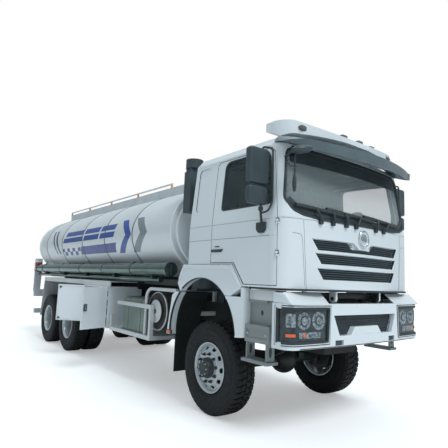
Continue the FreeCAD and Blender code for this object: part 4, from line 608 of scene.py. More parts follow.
class Repeat(Nodes):
    """A geometry node tree with named inputs that repeats a shape."""

    def __init__(self, name: str, inputs: Dict[str, object]) -> None:
        """Make the tree and its sockets.

        Args:
            name: The tree's name.
            inputs: Each input's name with its usual value; every tree also has a count,
                a centre and a material.
        """
        super().__init__(bpy.data.node_groups.new(name, "GeometryNodeTree"))
        face = self.tree.interface
        face.new_socket("Geometry", in_out="INPUT", socket_type="NodeSocketGeometry")
        face.new_socket("Geometry", in_out="OUTPUT", socket_type="NodeSocketGeometry")
        kinds = {int: "Int", float: "Float", tuple: "Vector", type(None): "Material"}
        for word, value in {"Count": 8, "Centre": ORIGIN, "Material": None, **inputs}.items():
            kind = "NodeSocket" + kinds[type(value)]
            socket = face.new_socket(word, in_out="INPUT", socket_type=kind)
            if value is not None:
                socket.default_value = value
        self.given = self.add("NodeGroupInput").outputs

    def close(self, line: bpy.types.Node, turn: object = ORIGIN) -> "Repeat":
        """End the tree: real meshes on the line's points, in their place, with a material.

        Args:
            line: The node that gives the points.
            turn: How each copy is turned, a value or a socket.

        Returns:
            The tree itself.
        """
        copies = self.add("GeometryNodeInstanceOnPoints", {"Points": line.outputs[0],
            "Instance": self.given["Geometry"], "Rotation": turn})
        whole = self.add("GeometryNodeRealizeInstances", {"Geometry": copies.outputs[0]})
        moved = self.add("GeometryNodeTransform", {"Geometry": whole.outputs[0],
            "Translation": self.given["Centre"]})
        dressed = self.add("GeometryNodeSetMaterial", {"Geometry": moved.outputs[0],
            "Material": self.given["Material"]})
        self.add("NodeGroupOutput", {"Geometry": dressed.outputs[0]})
        return self

    def run(self, shape: Shape, centre: Point, finish: Finish, **values: object) -> bpy.types.Mesh:
        """Repeat one shape with the tree.

        Args:
            shape: The faces to repeat.
            centre: Where the repeated shape's origin comes.
            finish: The shape's finish.
            values: The tree's other inputs by name.

        Returns:
            A plain mesh that holds all the copies.
        """
        single = bpy.data.meshes.new("single")
        bmesh.ops.recalc_face_normals(shape.mesh, faces=shape.mesh.faces)
        shape.mesh.to_mesh(single)
        shape.mesh.free()
        carrier = placed("carrier", single)
        modifier = carrier.modifiers.new("Repeat", "NODES")
        modifier.node_group = self.tree
        values["Centre"] = (centre[0] + FORWARD, centre[1], centre[2])
        values["Material"] = finish.material()
        for item in self.tree.interface.items_tree:
            if item.in_out == "INPUT" and item.name in values:
                modifier[item.identifier] = values[item.name]
        graph = bpy.context.evaluated_depsgraph_get()
        result = bpy.data.meshes.new_from_object(carrier.evaluated_get(graph))
        carrier.modifiers.clear()
        bpy.data.objects.remove(carrier)
        return result


def ring_tree(axis: Axis) -> Repeat:
    """Build a tree that repeats a shape round an axis, drawn where the first one stands."""
    tree = Repeat("ring_about_" + axis.name.lower(), {"Start": 0.0})
    line = tree.add("GeometryNodeMeshLine", {"Count": tree.given["Count"], "Offset": ORIGIN})
    step = tree.add("ShaderNodeMath", {0: math.tau, 1: tree.given["Count"]}, operation="DIVIDE")
    index = tree.add("GeometryNodeInputIndex")
    turn = tree.add("ShaderNodeMath", {0: index.outputs[0], 1: step.outputs[0], 2: tree.given["Start"]},
        operation="MULTIPLY_ADD")
    angles = tree.add("ShaderNodeCombineXYZ", {axis.name: turn.outputs[0]})
    return tree.close(line, angles.outputs[0])


def row_tree() -> Repeat:
    """Build a tree that repeats a shape at even steps along a straight line."""
    tree = Repeat("row", {"Step": (1.0, 0.0, 0.0)})
    return tree.close(tree.add("GeometryNodeMeshLine", {"Count": tree.given["Count"],
        "Offset": tree.given["Step"]}))


RINGS: Dict[Axis, Repeat] = {axis: ring_tree(axis) for axis in (Axis.Y, Axis.Z)}
ROW = row_tree()


def ringed(name: str, shape: Shape, finish: Finish, body: str, count: int, centre: Point,
        axis: Axis = Axis.Y, start: float = 0.0, smooth: float = SMOOTH_ANGLE) -> None:
    """Repeat a shape all the way round an axis as one piece.

    Args:
        name: The piece's name.
        shape: The first copy, drawn about the axis with the centre as its origin.
        finish: The piece's finish.
        body: The body that it rides on.
        count: How many copies.
        centre: A point on the axis.
        axis: The axis's direction.
        start: How far the first copy is turned, in degrees.
        smooth: Edges under this angle in degrees are shaded smooth.
    """
    data = RINGS[axis].run(shape, centre, finish, Count=count, Start=math.radians(start))
    dress(name, data, finish, body, (), smooth)


def rowed(name: str, shape: Shape, finish: Finish, count: int, step: Point,
        start: Point = ORIGIN) -> None:
    """Repeat a shape in even steps, from a start, as one piece of the chassis."""
    data = ROW.run(shape, start, finish, Count=count, Step=step)
    dress(name, data, finish, "chassis", (), SMOOTH_ANGLE)


# Wheels and tyres


@dataclass
class Tyre:
    """A drive tyre: its carcass, its side ribs and its ring of tread blocks."""

    radius: float = 0.56
    width: float = 0.315
    bead_radius: float = 0.286
    bead_half: float = 0.114
    groove: float = 0.013
    pitches: int = 44

    def carcass(self) -> List[Flat]:
        """List the carcass's profile from bead to bead, as place along the axle and radius."""
        half, bead, edge, top = self.width / 2.0, self.bead_radius, self.bead_half, self.radius
        floor = top - self.groove
        side = [(edge - 0.012, bead + 0.002), (edge, bead), (edge + 0.01, bead + 0.012)]
        for inset, reach in ((0.026, bead + 0.03), (0.012, bead + 0.055), (0.01, bead + 0.058),
                (0.004, top - 0.185), (0.0, top - 0.145), (0.002, top - 0.115), (0.0, top - 0.111),
                (0.003, top - 0.106), (0.008, top - 0.075), (0.013, top - 0.045), (0.011, top - 0.042),
                (0.016, top - 0.034), (0.022, floor - 0.012), (0.036, floor - 0.002), (0.09, floor)):
            side.append((half - inset, reach))
        return side + [(-across, reach) for across, reach in reversed(side)]

    def blocks(self) -> Shape:
        """Draw one pitch of the tread: two shoulder blocks and a pair of middle ones."""
        shape = Shape()
        half, top = self.width / 2.0, self.radius
        length = math.tau * top / self.pitches
        floor = top - self.groove - 0.004
        far = half - 0.096
        shoulder = [(half - 0.019, floor - 0.022), (half - 0.034, top - 0.006),
            (half - 0.05, top - 0.001), (half - 0.088, top), (half - 0.088, floor)]
        for sign in (1.0, -1.0):
            rings = []
            for share in (-0.34, 0.34):
                rings.append([(length * share + sign * (0.09 - abs(across - half + 0.088)) * 0.06,
                    across * sign, reach) for across, reach in shoulder])
            shape.rings(rings)
            rings = []
            for share in (0.0, 0.72):
                shift = length * (share - 0.36 + 0.25 * sign)
                rings.append([(shift, 0.006 * sign, floor), (shift + 0.012, far * sign, floor),
                    (shift + 0.012, far * sign, top), (shift, 0.006 * sign, top)])
            shape.rings(rings)
        return shape

    def build(self, name: str, body: str, centres: Sequence[Point], replaces: str) -> None:
        """Make the tyres of one wheel body.

        Args:
            name: The start of the pieces' names.
            body: The body that they ride on.
            centres: The tyres' centres.
            replaces: The solid that they stand for.
        """
        shape = Shape()
        for centre in centres:
            shape.turned(self.carcass(), centre, steps=88)
        shape.finish(name, TYRE_BLACK, body, (replaces,), smooth=40.0)
        for number, centre in enumerate(centres):
            ringed(f"{name}_tread_{number}", self.blocks(), TYRE_BLACK, body, self.pitches, centre,
                smooth=20.0)


@dataclass
class Disc:
    """A pressed wheel disc with hand holes between a rim and a hub."""

    profile: Outline
    hole_radius: float = 0.229
    hole_half: Flat = (0.031, 0.019)
    holes: int = 10
    thickness: float = 0.014
    lip: float = 0.004
    rays: int = 24

    def depth(self, radius: float) -> float:
        """Give the disc's place along the axle at a radius, from its profile."""
        for (near, low), (far, high) in zip(self.profile, self.profile[1:]):
            if low <= radius <= high:
                share = (radius - low) / (high - low)
                return near + (far - near) * share * share * (3.0 - 2.0 * share)
        return self.profile[-1 if radius > self.profile[-1][1] else 0][0]

    def sector(self, facing: float) -> Shape:
        """Draw the disc round one hand hole, about the axle, for a wheel that faces one way."""
        low, high = self.profile[0][1], self.profile[-1][1]
        half = math.pi / self.holes
        corners = {}
        for across, reach in ((half, high), (half, low), (-half, high), (-half, low)):
            angle = math.atan2(reach - self.hole_radius, across * self.hole_radius)
            corners[round(angle / math.tau * self.rays) % self.rays] = (across, reach)
        inner = oval((0.0, self.hole_radius), self.hole_half, self.rays)
        part = bmesh.new()
        rims = []
        for back in (0.0, self.thickness):
            grid = []
            for share in (0.0, 0.12, 0.4, 0.7, 1.0):
                row = []
                for index, (side, up) in enumerate(inner):
                    near = (side / self.hole_radius, up)
                    angle = math.tau * index / self.rays
                    far = corners.get(index) or self.border(angle, half, low, high)
                    across, reach = (a + (b - a) * share for a, b in zip(near, far))
                    lift = 0.0 if share or back else self.lip
                    along = facing * (self.depth(reach) - back - lift)
                    place = (reach * math.sin(across), along, reach * math.cos(across))
                    row.append(part.verts.new(place))
                grid.append(row)
            for near, far in zip(grid, grid[1:]):
                belt(part, near, far)
            rims.append(grid[0])
        belt(part, *rims)
        return Shape().take(part)

    def border(self, angle: float, half: float, low: float, high: float) -> Flat:
        """Give where a ray from the hole's middle meets the sector's edge.

        Args:
            angle: The ray's angle.
            half: Half the sector's angle.
            low: The sector's inner radius.
            high: The sector's outer radius.

        Returns:
            The place as angle and radius.
        """
        across, up = math.cos(angle) / self.hole_radius, math.sin(angle)
        reaches = []
        if abs(across) > 1e-9:
            reaches.append(half / abs(across))
        if abs(up) > 1e-9:
            reaches.append(((high if up > 0.0 else low) - self.hole_radius) / up)
        return (across * min(reaches), self.hole_radius + up * min(reaches))


@dataclass(frozen=True)
class Fitting:
    """What differs between the front and the rear wheels, as profiles along the axle."""

    plural: str
    face: Outline
    disc: Outline
    nut_face: float
    hub: Outline
    drum: Outline
    steps: int


FRONT_FITTING = Fitting("", [(0.148, 0.191), (0.149, 0.186), (0.149, 0.118), (0.135, 0.118),
    (0.135, 0.191)], [(0.148, 0.19), (0.142, 0.208), (0.112, 0.245), (0.106, 0.263)], 0.149,
    [(0.0, 0.0), (0.0, 0.06), (0.13, 0.12), (0.178, 0.122), (0.182, 0.118), (0.185, 0.112),
    (0.214, 0.106), (0.222, 0.1), (0.228, 0.09), (0.232, 0.068), (0.238, 0.062), (0.24, 0.05),
    (0.24, 0.0)], [(-0.11, 0.0), (-0.11, 0.205), (0.075, 0.205), (0.085, 0.19), (0.134, 0.186),
    (0.134, 0.0)], 64)
REAR_FITTING = Fitting("s", [(0.034, 0.192), (0.036, 0.188), (0.036, 0.118), (0.0, 0.118),
    (0.0, 0.192)], [(0.035, 0.191), (0.042, 0.206), (0.078, 0.244), (0.098, 0.263)], 0.036,
    [(0.0, 0.0), (0.0, 0.14), (0.034, 0.14), (0.05, 0.13), (0.062, 0.118), (0.15, 0.112), (0.19, 0.106),
    (0.197, 0.1), (0.202, 0.085), (0.207, 0.07), (0.209, 0.0)], peg(-0.25, -0.02, 0.205), 56)


@dataclass
class Wheels:
    """All the wheels: tyres, rims, discs, hubs and nuts."""

    tyre: Tyre = field(default_factory=Tyre)
    axle_height: float = 0.56
    front_side: float = 1.02
    twin_side: float = 0.905
    twin_spacing: float = 0.35
    rear_places: Tuple[float, ...] = (-5.09, -6.49)
    rim_half: float = 0.14
    nuts: int = 10
    nut_circle: float = 0.1675
    hub_bolts: int = 8

    def rim(self) -> List[Flat]:
        """List a rim's closed profile, from its flange over the seat and back underneath."""
        half = self.rim_half
        edge = [(half, 0.288), (half + 0.001, 0.298), (half - 0.004, 0.3015), (half - 0.012, 0.299),
            (half - 0.018, 0.2875), (half - 0.024, 0.286)]
        under = [(-half + 0.03, 0.268), (half - 0.04, 0.262), (half - 0.022, 0.268),
            (half - 0.008, 0.281), (half, 0.288)]
        return edge + [(-across, reach) for across, reach in reversed(edge)] + under

    def nut(self, face: float, facing: float) -> Shape:
        """Draw one wheel nut with its washer and stud end, on a face along the axle."""
        shape = Shape()
        for low, high, radius, end, narrow, steps in ((-0.002, 0.004, 0.021, 0.006, 0.018, 20),
                (0.004, 0.024, 0.0165, 0.028, 0.0135, 6), (0.02, 0.04, 0.01, 0.042, 0.008, 12)):
            profile = stud(face + low, face + high, radius, (face + end, narrow))
            shape.turned(profile, (0.0, 0.0, self.nut_circle), steps=steps, facing=facing)
        return shape

    def wheel(self, end: str, fitting: Fitting, facing: float, middle: Point,
            offsets: Sequence[float]) -> None:
        """Make the pieces of one wheel body.

        Args:
            end: Where the wheel is, as in the pieces' names.
            fitting: The wheel's fitting.
            facing: 1 for left, -1 for right.
            middle: The middle of the disc's side of the wheel.
            offsets: How far each tyre is out from that middle.
        """
        body = "wheel_" + end
        solid = end.replace("_", f"_wheel{fitting.plural}_", 1)
        centres = [(middle[0], middle[1] + offset * facing, middle[2]) for offset in offsets]
        self.tyre.build(f"tyre{fitting.plural}_{end}", body, centres, solid.replace("wheel", "tyre"))
        rim = Shape()
        for centre, way in zip(centres, (facing, -facing)):
            rim.turned(self.rim(), centre, steps=96, facing=way)
        rim.turned(fitting.face, middle, steps=96, facing=facing)
        rim.finish(f"rim{fitting.plural}_{end}", RIM_SILVER, body, (solid,))
        disc = Disc(fitting.disc)
        ringed("disc_" + end, disc.sector(facing), RIM_SILVER, body, disc.holes, middle, start=18.0,
            smooth=50.0)
        ringed("nuts_" + end, self.nut(fitting.nut_face, facing), HUB_DARK, body, self.nuts, middle,
            start=9.0)
        hub = Shape().turned(fitting.hub, middle, steps=fitting.steps, facing=facing)
        hub.turned(fitting.drum, middle, steps=fitting.steps, facing=facing)
        hub.finish("hub_" + end, HUB_DARK, body)

    def build(self) -> None:
        """Make every wheel."""
        half = self.twin_spacing / 2.0
        for facing, word in SIDES:
            front = (0.0, self.front_side * facing, self.axle_height)
            self.wheel("front_" + word, FRONT_FITTING, facing, front, (0.0,))
            bolt = Shape().turned(stud(0.205, 0.236, 0.0085, (0.238, 0.006)), (0.0, 0.0, 0.079),
                steps=6, facing=facing)
            ringed("hub_bolts_front_" + word, bolt, BARE_STEEL, "wheel_front_" + word, self.hub_bolts,
                front)
            for number, place in enumerate(self.rear_places, 1):
                middle = (place, self.twin_side * facing, self.axle_height)
                self.wheel(f"rear_{number}_{word}", REAR_FITTING, facing, middle, (half, -half))


# Tank


TANK_BLUE = Finish("tank_blue", Slot.TANK, (0, 26, 128), (0, 38, 138), 2.5, (0.3, 0.4), coat=0.3)
TANK_BRIGHT_BLUE = replace(TANK_BLUE, name="tank_bright_blue", colour=(0, 66, 158), drift=(0, 62, 140),
    patches=1.4)
TANK_NAVY = replace(TANK_BLUE, name="tank_navy", colour=(20, 44, 92), drift=(28, 52, 100))
TANK_MARK_GREY = replace(TANK_BLUE, name="tank_mark_grey", colour=(120, 130, 138),
    drift=(132, 141, 148))
BAND_DARK = Finish("band_dark", Slot.STEEL, (62, 74, 78), (84, 95, 99), 4.0, (0.3, 0.45), metallic=0.3,
    relief=0.06)
RAIL_ALLOY = Finish("rail_alloy", Slot.ALUMINIUM, (214, 221, 226), (202, 209, 214), 4.0, (0.3, 0.42),
    metallic=0.3)
SAFETY_ORANGE = Finish("safety_orange", Slot.ALUMINIUM, (232, 150, 84), (236, 172, 110), 6.0,
    (0.4, 0.5), relief=0.05)
TUBE_BRIGHT = Finish("tube_bright", Slot.ALUMINIUM, (112, 130, 126), (96, 114, 108), 3.0, (0.1, 0.18),
    metallic=0.85, grain=80.0, grain_stretch=(0.1, 2.0, 2.0), relief=0.08)


@dataclass
class Tank:
    """The oval tank with its bands, stripes, walkway and hose tubes."""

    front: float = -0.95
    rear: float = -7.75
    height: float = 2.35
    half_width: float = 1.215
    half_height: float = 0.805
    flange: float = 0.022
    head: float = 0.13
    band_places: Tuple[float, ...] = (-2.235, -3.403, -4.589, -5.912, -7.114)
    band_half: float = 0.013
    manholes: Tuple[float, ...] = (-2.9, -5.9)
    manhole_radius: float = 0.25
    manhole_top: float = 3.252
    coaming_side: float = 0.5
    coaming: Flat = (-7.6, -1.32)
    coaming_top: float = 3.25
    square: Flat = (0.172, 0.078)
    stripe_lean: float = 0.16
    tube_side: float = -1.145
    tube_height: float = 1.752
    clamp_places: Tuple[float, ...] = (-2.235, -3.4, -4.59, -5.91, -7.3)

    def shell(self) -> None:
        """Make the barrel with rolled flanges, weld seams, dished heads and manhole collars."""
        wide, proud = self.half_width, self.half_width + self.flange
        knee = wide - 0.06
        half = oval((0.0, 0.0), (self.head, knee), 9, 0.0, 90.0)
        half += [(-0.004, knee + 0.02), (-0.012, proud - 0.012), (-0.02, proud - 0.002), (-0.03, proud),
            (-0.044, proud), (-0.052, proud - 0.004), (-0.056, wide + 0.004), (-0.062, wide)]
        profile = [(self.front + along, reach) for along, reach in half]
        for place in self.band_places:
            profile += [(place + 0.02, wide), (place + 0.014, wide + 0.0015),
                (place - 0.014, wide + 0.0015), (place - 0.02, wide)]
        profile += [(self.rear - along, reach) for along, reach in reversed(half)]
        shape = Shape().turned(profile, ORIGIN, Axis.X, 160)
        press = Matrix.Diagonal((1.0, 1.0, self.half_height / self.half_width, 1.0))
        lift = Matrix.Translation((0.0, 0.0, self.height))
        bmesh.ops.transform(shape.mesh, matrix=lift @ press, verts=shape.mesh.verts)
        crown, collar, top = self.height + self.half_height, self.manhole_radius, self.manhole_top
        foot = crown - 0.06
        for place in self.manholes:
            shape.turned([(foot, 0.0), (foot, collar + 0.015), (crown + 0.03, collar + 0.012),
                (crown + 0.045, collar), (top - 0.012, collar), (top, collar - 0.004), (top, 0.0)],
                (place, 0.0, 0.0), Axis.Z)
            axle = place - collar - 0.034
            for side in (-0.07, 0.05):
                shape.block((axle - 0.02, side, foot), (axle + 0.012, side + 0.02, top + 0.036), 0.003)
            shape.turned(peg(-0.06, 0.06, 0.008), (axle, 0.0, top + 0.022), Axis.Y, 20)
        shape.finish("tank_shell", TANK_SILVER, replaces=("tank",), smooth=28.0)

    def bands(self) -> None:
        """Make the thin straps, each in two halves that stop at the walkway and saddles."""
        shape = Shape()
        half = self.band_half
        profile = [(-half, 0.0008), (-half, 0.004), (-half + 0.002, 0.0055), (half - 0.002, 0.0055),
            (half, 0.004), (half, 0.0008)]
        for place in self.band_places:
            arcs = [oval((0.0, self.height), (self.half_width + grow, self.half_height + grow), 60,
                -50.0, 60.0) for _, grow in profile]
            shape.rings([[(place + along, *point) for (along, _), point in zip(profile, points)]
                for points in zip(*arcs)])
        shape.both_sides().finish("tank_straps", BAND_DARK, replaces=("tank_bands",))

    def film(self, outlines: Sequence[Outline], name: str, finish: Finish) -> None:
        """Lay thin painted marks on both flanks.

        Args:
            outlines: The marks' corners as X and Z, each mark convex.
            name: The piece's name.
            finish: The marks' finish.
        """
        part = bmesh.new()
        for outline in outlines:
            part.faces.new([part.verts.new((x, 0.0, z)) for x, z in outline])
        for step in range(1, 44):
            faces = list(part.verts) + list(part.edges) + list(part.faces)
            bmesh.ops.bisect_plane(part, geom=faces, dist=1e-6, plane_no=(0.0, 0.0, 1.0),
                plane_co=(0.0, 0.0, 1.8 + 0.025 * step))
        shape = Shape()
        for grow, flip in ((0.0012, False), (-0.003, True)):
            copy = part.copy()
            for corner in copy.verts:
                rise = (corner.co.z - self.height) / self.half_height
                corner.co.y = -self.half_width * math.sqrt(max(0.0, 1.0 - rise * rise)) - grow
            if flip:
                bmesh.ops.reverse_faces(copy, faces=copy.faces)
            shape.take(copy)
        part.free()
        solid = shape.mesh
        solid.verts.ensure_lookup_table()
        solid.verts.index_update()
        half = len(solid.verts) // 2
        for line in [line for line in solid.edges if line.is_boundary and line.verts[0].index < half]:
            first, second = line.verts
            back = (solid.verts[second.index + half], solid.verts[first.index + half])
            solid.faces.new((first, second, *back))
        shape.both_sides().finish(name, finish, smooth=40.0)

    @staticmethod
    def arrow(tip: Flat, width: float, top: Flat, foot: Flat) -> List[List[Flat]]:
        """List an arrowhead's halves; top and foot are how far behind the tip, and how high."""
        front, middle = tip
        return [[tip, (front - back, up), (front - back - width, up), (front - width, middle)]
            for back, up in (top, foot)]

    def marks(self) -> None:
        """Lay the arrowheads, the banner, the checker, the bars and plain stripes."""
        self.film(self.arrow((-1.71, 2.345), 0.235, (0.235, 2.61), (0.365, 2.038)), "mark_grey_arrow",
            TANK_MARK_GREY)
        self.film(self.arrow((-2.278, 2.338), 0.22, (0.235, 2.612), (0.37, 2.036)), "mark_blue_arrow",
            TANK_BRIGHT_BLUE)
        self.film([[(-2.9, 2.225), (-4.675, 2.215), (-4.79, 2.05), (-3.0, 2.055)]], "mark_banner",
            TANK_BLUE)
        wide, tall = self.square
        squares = []
        for column in range(7):
            row = column % 2
            start, high = -4.72 - column * wide - row * 0.03, 2.205 - row * tall
            squares.append([(start, high), (start - wide, high), (start - wide - 0.028, high - tall),
                (start - 0.028, high - tall)])
        self.film(squares, "mark_checker", TANK_BLUE)
        self.film([[(-6.71, 2.67), (-6.81, 2.67), (-6.37, 2.097), (-6.29, 2.097)],
            [(-6.45, 2.667), (-6.56, 2.667), (-6.18, 2.095), (-6.065, 2.095)]], "mark_bars", TANK_NAVY)
        stripes = []
        for low, high, behind in ((2.47, 2.575, -5.72), (2.33, 2.435, -5.82)):
            upper, lower = ((up - 2.3) * self.stripe_lean for up in (high, low))
            for start, end in ((behind, -4.6), (-4.52, -3.72), (-3.64, -2.98)):
                stripes.append([(end + upper, high), (start + upper, high), (start + lower - 0.03, low),
                    (end + lower - 0.03, low)])
        self.film(stripes, "mark_stripes", TANK_BRIGHT_BLUE)

    def walkway(self) -> None:
        """Dress the walkway: the rail posts' sockets, tread ribs and lid fittings."""
        rear, front = self.coaming
        for sign, word in SIDES:
            post = Shape().turned([(0.0, 0.0), (0.0, 0.021), (0.075, 0.021), (0.078, 0.0)],
                (0.0, (self.coaming_side - 0.011) * sign, self.coaming_top - 0.02), Axis.Z, 16)
            rowed("rail_sockets_" + word, post, SAFETY_ORANGE, 5,
                ((front - rear - 0.94) / 4.0, 0.0, 0.0), (rear + 0.02, 0.0, 0.0))
        for name, start, count in (("front", -1.42, 16), ("middle", -3.32, 28), ("rear", -6.32, 16)):
            rib = Shape().block((-0.012, -0.455, 3.185), (0.012, 0.455, 3.19), 0.002)
            rowed("walkway_ribs_" + name, rib, ALUMINIUM, count, (-0.078, 0.0, 0.0), (start, 0.0, 0.0))
        top = self.manhole_top
        for word, place in zip(("front", "rear"), self.manholes):
            bolt = Shape().turned([(top + 0.036, 0.0), (top + 0.036, 0.011), (top + 0.046, 0.011),
                (top + 0.048, 0.0)], (0.225, 0.0, 0.0), Axis.Z, 6)
            ringed("lid_bolts_" + word, bolt, BARE_STEEL, "lid_" + word, 8, (place, 0.0, 0.0), Axis.Z,
                start=22.5)
            path = [(place + 0.1, side, top + rise) for side, rise in ((-0.07, 0.034), (-0.07, 0.1),
                (0.07, 0.1), (0.07, 0.034))]
            Shape().tube(path, 0.008, 10, 0.02).finish("lid_handle_" + word, BARE_STEEL, "lid_" + word)

    def hose_tubes(self) -> None:
        """Dress both hose tubes with a rolled bead, clamp bolts and a hinged end door."""
        side, up = self.tube_side, self.tube_height
        shape = Shape().turned([(-1.04, 0.0), (-1.038, 0.06), (-1.032, 0.088), (-1.03, 0.0945),
            (-1.04, 0.1)], (0.0, side, up), Axis.X, 48)
        shape.block((-1.031, side - 0.012, up - 0.075), (-1.02, side + 0.012, up + 0.075), 0.003)
        shape.both_sides().finish("hose_tube_doors", TRIM_SLATE)
        bolts = Shape()
        ends = (self.clamp_places[0], self.clamp_places[-1])
        for place in self.clamp_places:
            if place not in ends:
                bolts.turned([(place - 0.02, 0.1005), (place - 0.02, 0.1035), (place + 0.02, 0.1035),
                    (place + 0.02, 0.1005)], (0.0, side, up), Axis.X, 48)
            lug = up + (0.112 if place in ends else 0.106)
            bolts.block((place - 0.014, side - 0.016, lug - 0.014),
                (place + 0.014, side + 0.016, lug + 0.012), 0.003)
        bolts.both_sides().finish("hose_tube_clamps", BAND_DARK)

    def build(self) -> None:
        """Make everything on the tank."""
        self.shell()
        self.bands()
        self.marks()
        self.walkway()
        self.hose_tubes()


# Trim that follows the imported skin


Seat = Tuple[Vector, Vector]


class Skin:
    """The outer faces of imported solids, on which trim is seated."""

    def __init__(self, solids: Sequence[str], glass: Sequence[str] = ()) -> None:
        """Gather the solids' faces, and those of panes that stand for the skin where it is open."""
        self.solids = self.gathered(solids)
        self.glass = self.gathered(glass) if glass else None

    @staticmethod
    def gathered(names: Sequence[str]) -> BVHTree:
        """Put the faces of several solids in one search tree."""
        points: List[Vector] = []
        faces: List[List[int]] = []
        for name in names:
            solid = frame["nodes"][name]
            base = len(points)
            points += [solid.matrix_world @ corner.co for corner in solid.data.vertices]
            faces += [[base + index for index in face.vertices] for face in solid.data.polygons]
        return BVHTree.FromPolygons(points, faces)

    def hit(self, start: Point, way: Point) -> Seat:
        """Find the first face on a line.

        Args:
            start: Where the line starts, in the drawing's lengths.
            way: Its direction.

        Returns:
            The place and the outward normal.
        """
        begin = Vector(start) + Vector((FORWARD, 0.0, 0.0))
        line = Vector(way).normalized()
        place, normal, _, reach = self.solids.ray_cast(begin, line)
        if self.glass is not None:
            pane, pane_normal, _, pane_reach = self.glass.ray_cast(begin, line)
            if pane is not None and (place is None or pane_reach < reach):
                normal = pane_normal if pane_normal.dot(line) < 0.0 else -pane_normal
                place = pane + normal * GLASS_DEPTH
        if place is None:
            raise ValueError("no face on the line from %s along %s" % (start, way))
        if normal.dot(line) > 0.0:
            normal = -normal
        return place - Vector((FORWARD, 0.0, 0.0)), normal

    def ahead(self, across: float, up: float) -> Seat:
        """Find the skin's front at a place across and up."""
        return self.hit((3.0, across, up), (-1.0, 0.0, 0.0))

    def beside(self, along: float, up: float, sign: float) -> Seat:
        """Find the skin's left side for a sign of 1, or its right side for -1."""
        return self.hit((along, sign * 3.0, up), (0.0, -sign, 0.0))

    def fronts(self, path: Outline, sign: float = 1.0) -> List[Seat]:
        """Find the skin's front along a path, or along its mirror image for a sign of -1."""
        return [self.ahead(sign * across, up) for across, up in path]

    def grid(self, ends: Flat, heights: Sequence[float], count: int,
            sign: float = 1.0) -> List[List[Seat]]:
        """Find the seats at some heights on columns between two ends across the skin's front."""
        places = run((ends[0], 0.0), (ends[1], 0.0), count)
        return [self.fronts([(across, up) for up in heights], sign) for across, _ in places]

    def flanks(self, path: Outline, sign: float) -> List[Seat]:
        """Find the skin's left side along a path, or its right side for a sign of -1."""
        return [self.beside(along, up, sign) for along, up in path]

    def round_corner(self, centre: Flat, turn: float, up: float, sign: float) -> Seat:
        """Find the skin round a corner, from straight ahead at 0 to the side at 90 degrees."""
        angle = math.radians(turn)
        way = (math.cos(angle), sign * math.sin(angle))
        start = (centre[0] + 2.0 * way[0], sign * centre[1] + 2.0 * way[1], up)
        return self.hit(start, (-way[0], -way[1], 0.0))


def traced(outline: Outline, pitch: float, soften: int, closed: bool = True) -> List[Flat]:
    """Walk along an outline in short steps and round its corners off.

    Args:
        outline: The corners.
        pitch: The longest step.
        soften: How often each point moves to the middle of its neighbours.
        closed: Whether the last corner joins the first.

    Returns:
        The points.
    """
    corners = [Vector(corner) for corner in outline]
    ends = corners[1:] + corners[:1] if closed else corners[1:]
    points: List[Vector] = []
    for start, end in zip(corners, ends):
        count = max(1, math.ceil((end - start).length / pitch))
        points += [start.lerp(end, step / count) for step in range(count)]
    if not closed:
        points.append(corners[-1])
    for _ in range(soften):
        moved = [point * 0.5 + (points[index - 1] + points[(index + 1) % len(points)]) * 0.25
            for index, point in enumerate(points)]
        points = moved if closed else [points[0], *moved[1:-1], points[-1]]
    return [tuple(point) for point in points]


def laid(shape: Shape, seats: Sequence[Seat], width: float, low: float, high: float,
        closed: bool = False) -> Shape:
    """Lay a strip with softened edges along a row of seats.

    Args:
        shape: The shape that takes the strip.
        seats: Places on the skin with their normals.
        width: The strip's width.
        low: How far its foot is from the skin.
        high: How far its face is from the skin.
        closed: Whether the strip is a loop.

    Returns:
        The shape itself.
    """
    rings = []
    count = len(seats)
    profile = ((-0.5, 0.0), (-0.5, 0.6), (-0.34, 1.0), (0.34, 1.0), (0.5, 0.6), (0.5, 0.0))
    for index, (place, normal) in enumerate(seats):
        before = seats[index - 1 if closed or index else 0][0]
        after = seats[(index + 1) % count if closed else min(index + 1, count - 1)][0]
        across = (after - before).cross(normal).normalized()
        rings.append([tuple(place + across * width * side + normal * (low + (high - low) * up))
            for side, up in profile])
    return shape.rings(rings, closed)


def patched(shape: Shape, rows: Sequence[Sequence[Seat]], low: float, high: float) -> Shape:
    """Lay a thin panel over rows of seats, with its back and its face low and high off the skin."""
    return shape.rings([[tuple(place + normal * high) for place, normal in row]
        + [tuple(place + normal * low) for place, normal in reversed(row)] for row in rows])


def lens(shape: Shape, seat: Seat, half: Flat, depth: float, steps: int) -> None:
    """Put a low dome on a seat.

    Args:
        shape: The shape that takes the dome.
        seat: Its place and normal.
        half: Half its width and half its height.
        depth: How far it stands out.
        steps: Faces round it.
    """
    place, normal = seat
    across = Vector((0.0, 0.0, 1.0)).cross(normal).normalized()
    above = normal.cross(across)
    rings = []
    for share, out in ((1.0, 0.0), (1.0, 0.35), (0.94, 0.62), (0.78, 0.85), (0.5, 0.97), (0.16, 1.0)):
        circle = oval((0.0, 0.0), (half[0] * share, half[1] * share), steps)
        rings.append([tuple(place + normal * depth * out + across * side + above * up)
            for side, up in circle])
    shape.rings(rings)


# Cab


